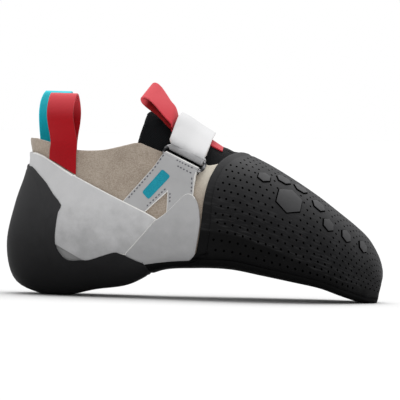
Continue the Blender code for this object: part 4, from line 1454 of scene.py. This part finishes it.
for place in RIBBON_SEWN:
    far_side = skin(place, RIBBON_TURN + TURN_STEP, ribbon_lift)
    near_side = skin(place, RIBBON_TURN - TURN_STEP, ribbon_lift)
    reach = RIBBON_HALF * 2 * TURN_STEP / (far_side - near_side).length
    ribbon_rows.append([skin(place, RIBBON_TURN + reach * share, ribbon_lift) for share in SPREAD])
for x, z, lean in RIBBON_LOOP:
    middle = Vector((x, RIBBON_MIDDLE_Y, z))
    across = Vector((lean, RIBBON_ACROSS_Y, RIBBON_ACROSS_Z)).normalized() * RIBBON_HALF
    ribbon_rows.append([middle + across * share for share in SPREAD])
ribbon_mesh, ribbon_length = band(ribbon_rows, *RIBBON_STEPS, 2 * RIBBON_HALF)
turned_at = lengths([row[2] for row in ribbon_rows])[RIBBON_TIP] * MM
RED_PALE = webbing(
    "pale_red_ribbon", colour(206, 48, 60), colour(230, 74, 86), colour(238, 96, 104), 0.75, turned_at
)
tongue_ribbon = piece("tongue_ribbon_red", ribbon_mesh, [RED_PALE], "tongue_ribbon")
thicken(tongue_ribbon, RIBBON)

# Teal tag on the strap base
TAG_CORNER = 1.5
TAG_RIM = ((0.25, 0.15), (0.3, 0.0))
TAG_SUNK = 0.1
TAG_HIGH = 0.35
tag_outline = [spot(x, z, offset=PANEL_HIGH) for x, z in straight(rounded(TAG, TAG_CORNER))]
tag_mesh = pattern([tag_outline], TAG_RIM, FINE_X, FINE_Y)
lay(tag_mesh, PANEL_HIGH - TAG_SUNK, PANEL_HIGH + TAG_HIGH, base_lift)
piece("tag_teal", tag_mesh, [TAG_TEAL], None)

# Stitches on the strap base, as (x, z) lines
STITCH_LINES = [
    [(65.2, 89.4), (43.0, 62.6)], [(83.4, 76.6), (82.9, 72.0), (82.7, 67.6)],
    [(66.9, 69.9), (54.6, 57.8)], [(69.4, 67.4), (69.4, 60.8)],
    [(72.8, 86.0), (84.6, 80.6)], [(73.6, 82.6), (83.8, 77.9)],
]
STITCH_PITCH = 2.5
STITCH_RADIUS = 0.45


def stitch_row(mesh, line, pitch, lift, size, relief):
    """Short threads along a side line, each a long bead lying on the piece below."""
    holes = straight(line, pitch)
    for (x, z), (end_x, end_z) in zip(holes, holes[1:]):
        ends = []
        for share in (0.2, 0.8):
            at = spot(x + (end_x - x) * share, z + (end_z - z) * share, offset=lift)
            ends.append(skin(*at, lift + relief(*at)))
        middle = (ends[0] + ends[1]) / 2
        way = ends[1] - ends[0]
        turned = Vector((1, 0, 0)).rotation_difference(way).to_matrix().to_4x4()
        shape = Matrix.Diagonal((way.length / 2, size, size, 1.0))
        place_at = Matrix.Scale(MM, 4) @ Matrix.Translation(middle) @ turned @ shape
        bmesh.ops.create_uvsphere(mesh, u_segments=6, v_segments=5, radius=1.0, matrix=place_at)


thread_mesh = bmesh.new()
for line in STITCH_LINES:
    stitch_row(thread_mesh, line, STITCH_PITCH, PANEL_HIGH, STITCH_RADIUS, base_lift)
piece("base_stitches", thread_mesh, [THREAD])

# Stage, lights and camera
FLOOR_HALF = 12.0
WORLD_LIGHT = 0.55
SUN_LIGHT = 2.2
SUN_SPREAD = math.radians(60)
SUN_TILT = (math.radians(-18), math.radians(6), 0.0)
floor_mesh = bmesh.new()
bmesh.ops.create_grid(floor_mesh, x_segments=1, y_segments=1, size=FLOOR_HALF)
floor_data = bpy.data.meshes.new("floor")
floor_mesh.to_mesh(floor_data)
floor_mesh.free()
pale_floor = plain("pale_floor", (0.86, 0.86, 0.86, 1.0), (0.88, 0.88, 0.88, 1.0), 0.9)
floor_data.materials.append(pale_floor)
floor = bpy.data.objects.new("floor", floor_data)
bpy.context.scene.collection.objects.link(floor)

world = bpy.data.worlds.new("studio")
world.use_nodes = True
world_nodes = world.node_tree.nodes
white_wall = world_nodes["Background"]
white_wall.inputs["Color"].default_value = (1.0, 1.0, 1.0, 1.0)
seen = world_nodes.new("ShaderNodeLightPath")
level = world_nodes.new("ShaderNodeMapRange")
level.inputs["To Min"].default_value = WORLD_LIGHT
level.inputs["To Max"].default_value = 1.0
world.node_tree.links.new(seen.outputs["Is Camera Ray"], level.inputs["Value"])
world.node_tree.links.new(level.outputs["Result"], white_wall.inputs["Strength"])
bpy.context.scene.world = world
bpy.context.scene.view_settings.view_transform = "Standard"

sun = bpy.data.lights.new("overhead", "SUN")
sun.energy = SUN_LIGHT
sun.angle = SUN_SPREAD
sun_object = bpy.data.objects.new("overhead", sun)
sun_object.rotation_euler = SUN_TILT
bpy.context.scene.collection.objects.link(sun_object)

LOOK_AT = Vector((88.4, -12.0, 62.7))
VIEW_DISTANCE = 3200.0
VIEW_WIDTH = 253.2
ELEVATION = math.radians(1.2)
ROLL = math.atan(9.5 / 315)
camera_data = bpy.data.cameras.new("camera")
camera_data.lens = camera_data.sensor_width * VIEW_DISTANCE / VIEW_WIDTH
camera_data.clip_end = 100.0
camera = bpy.data.objects.new("camera", camera_data)
back = Vector((0.0, -math.cos(ELEVATION), math.sin(ELEVATION)))
right = Vector((math.cos(ROLL), 0.0, math.sin(ROLL)))
right = (right - back * right.dot(back)).normalized()
up = back.cross(right)
camera.matrix_world = Matrix((right, up, back)).transposed().to_4x4()
camera.location = (LOOK_AT + back * VIEW_DISTANCE) * MM
bpy.context.scene.collection.objects.link(camera)
bpy.context.scene.camera = camera
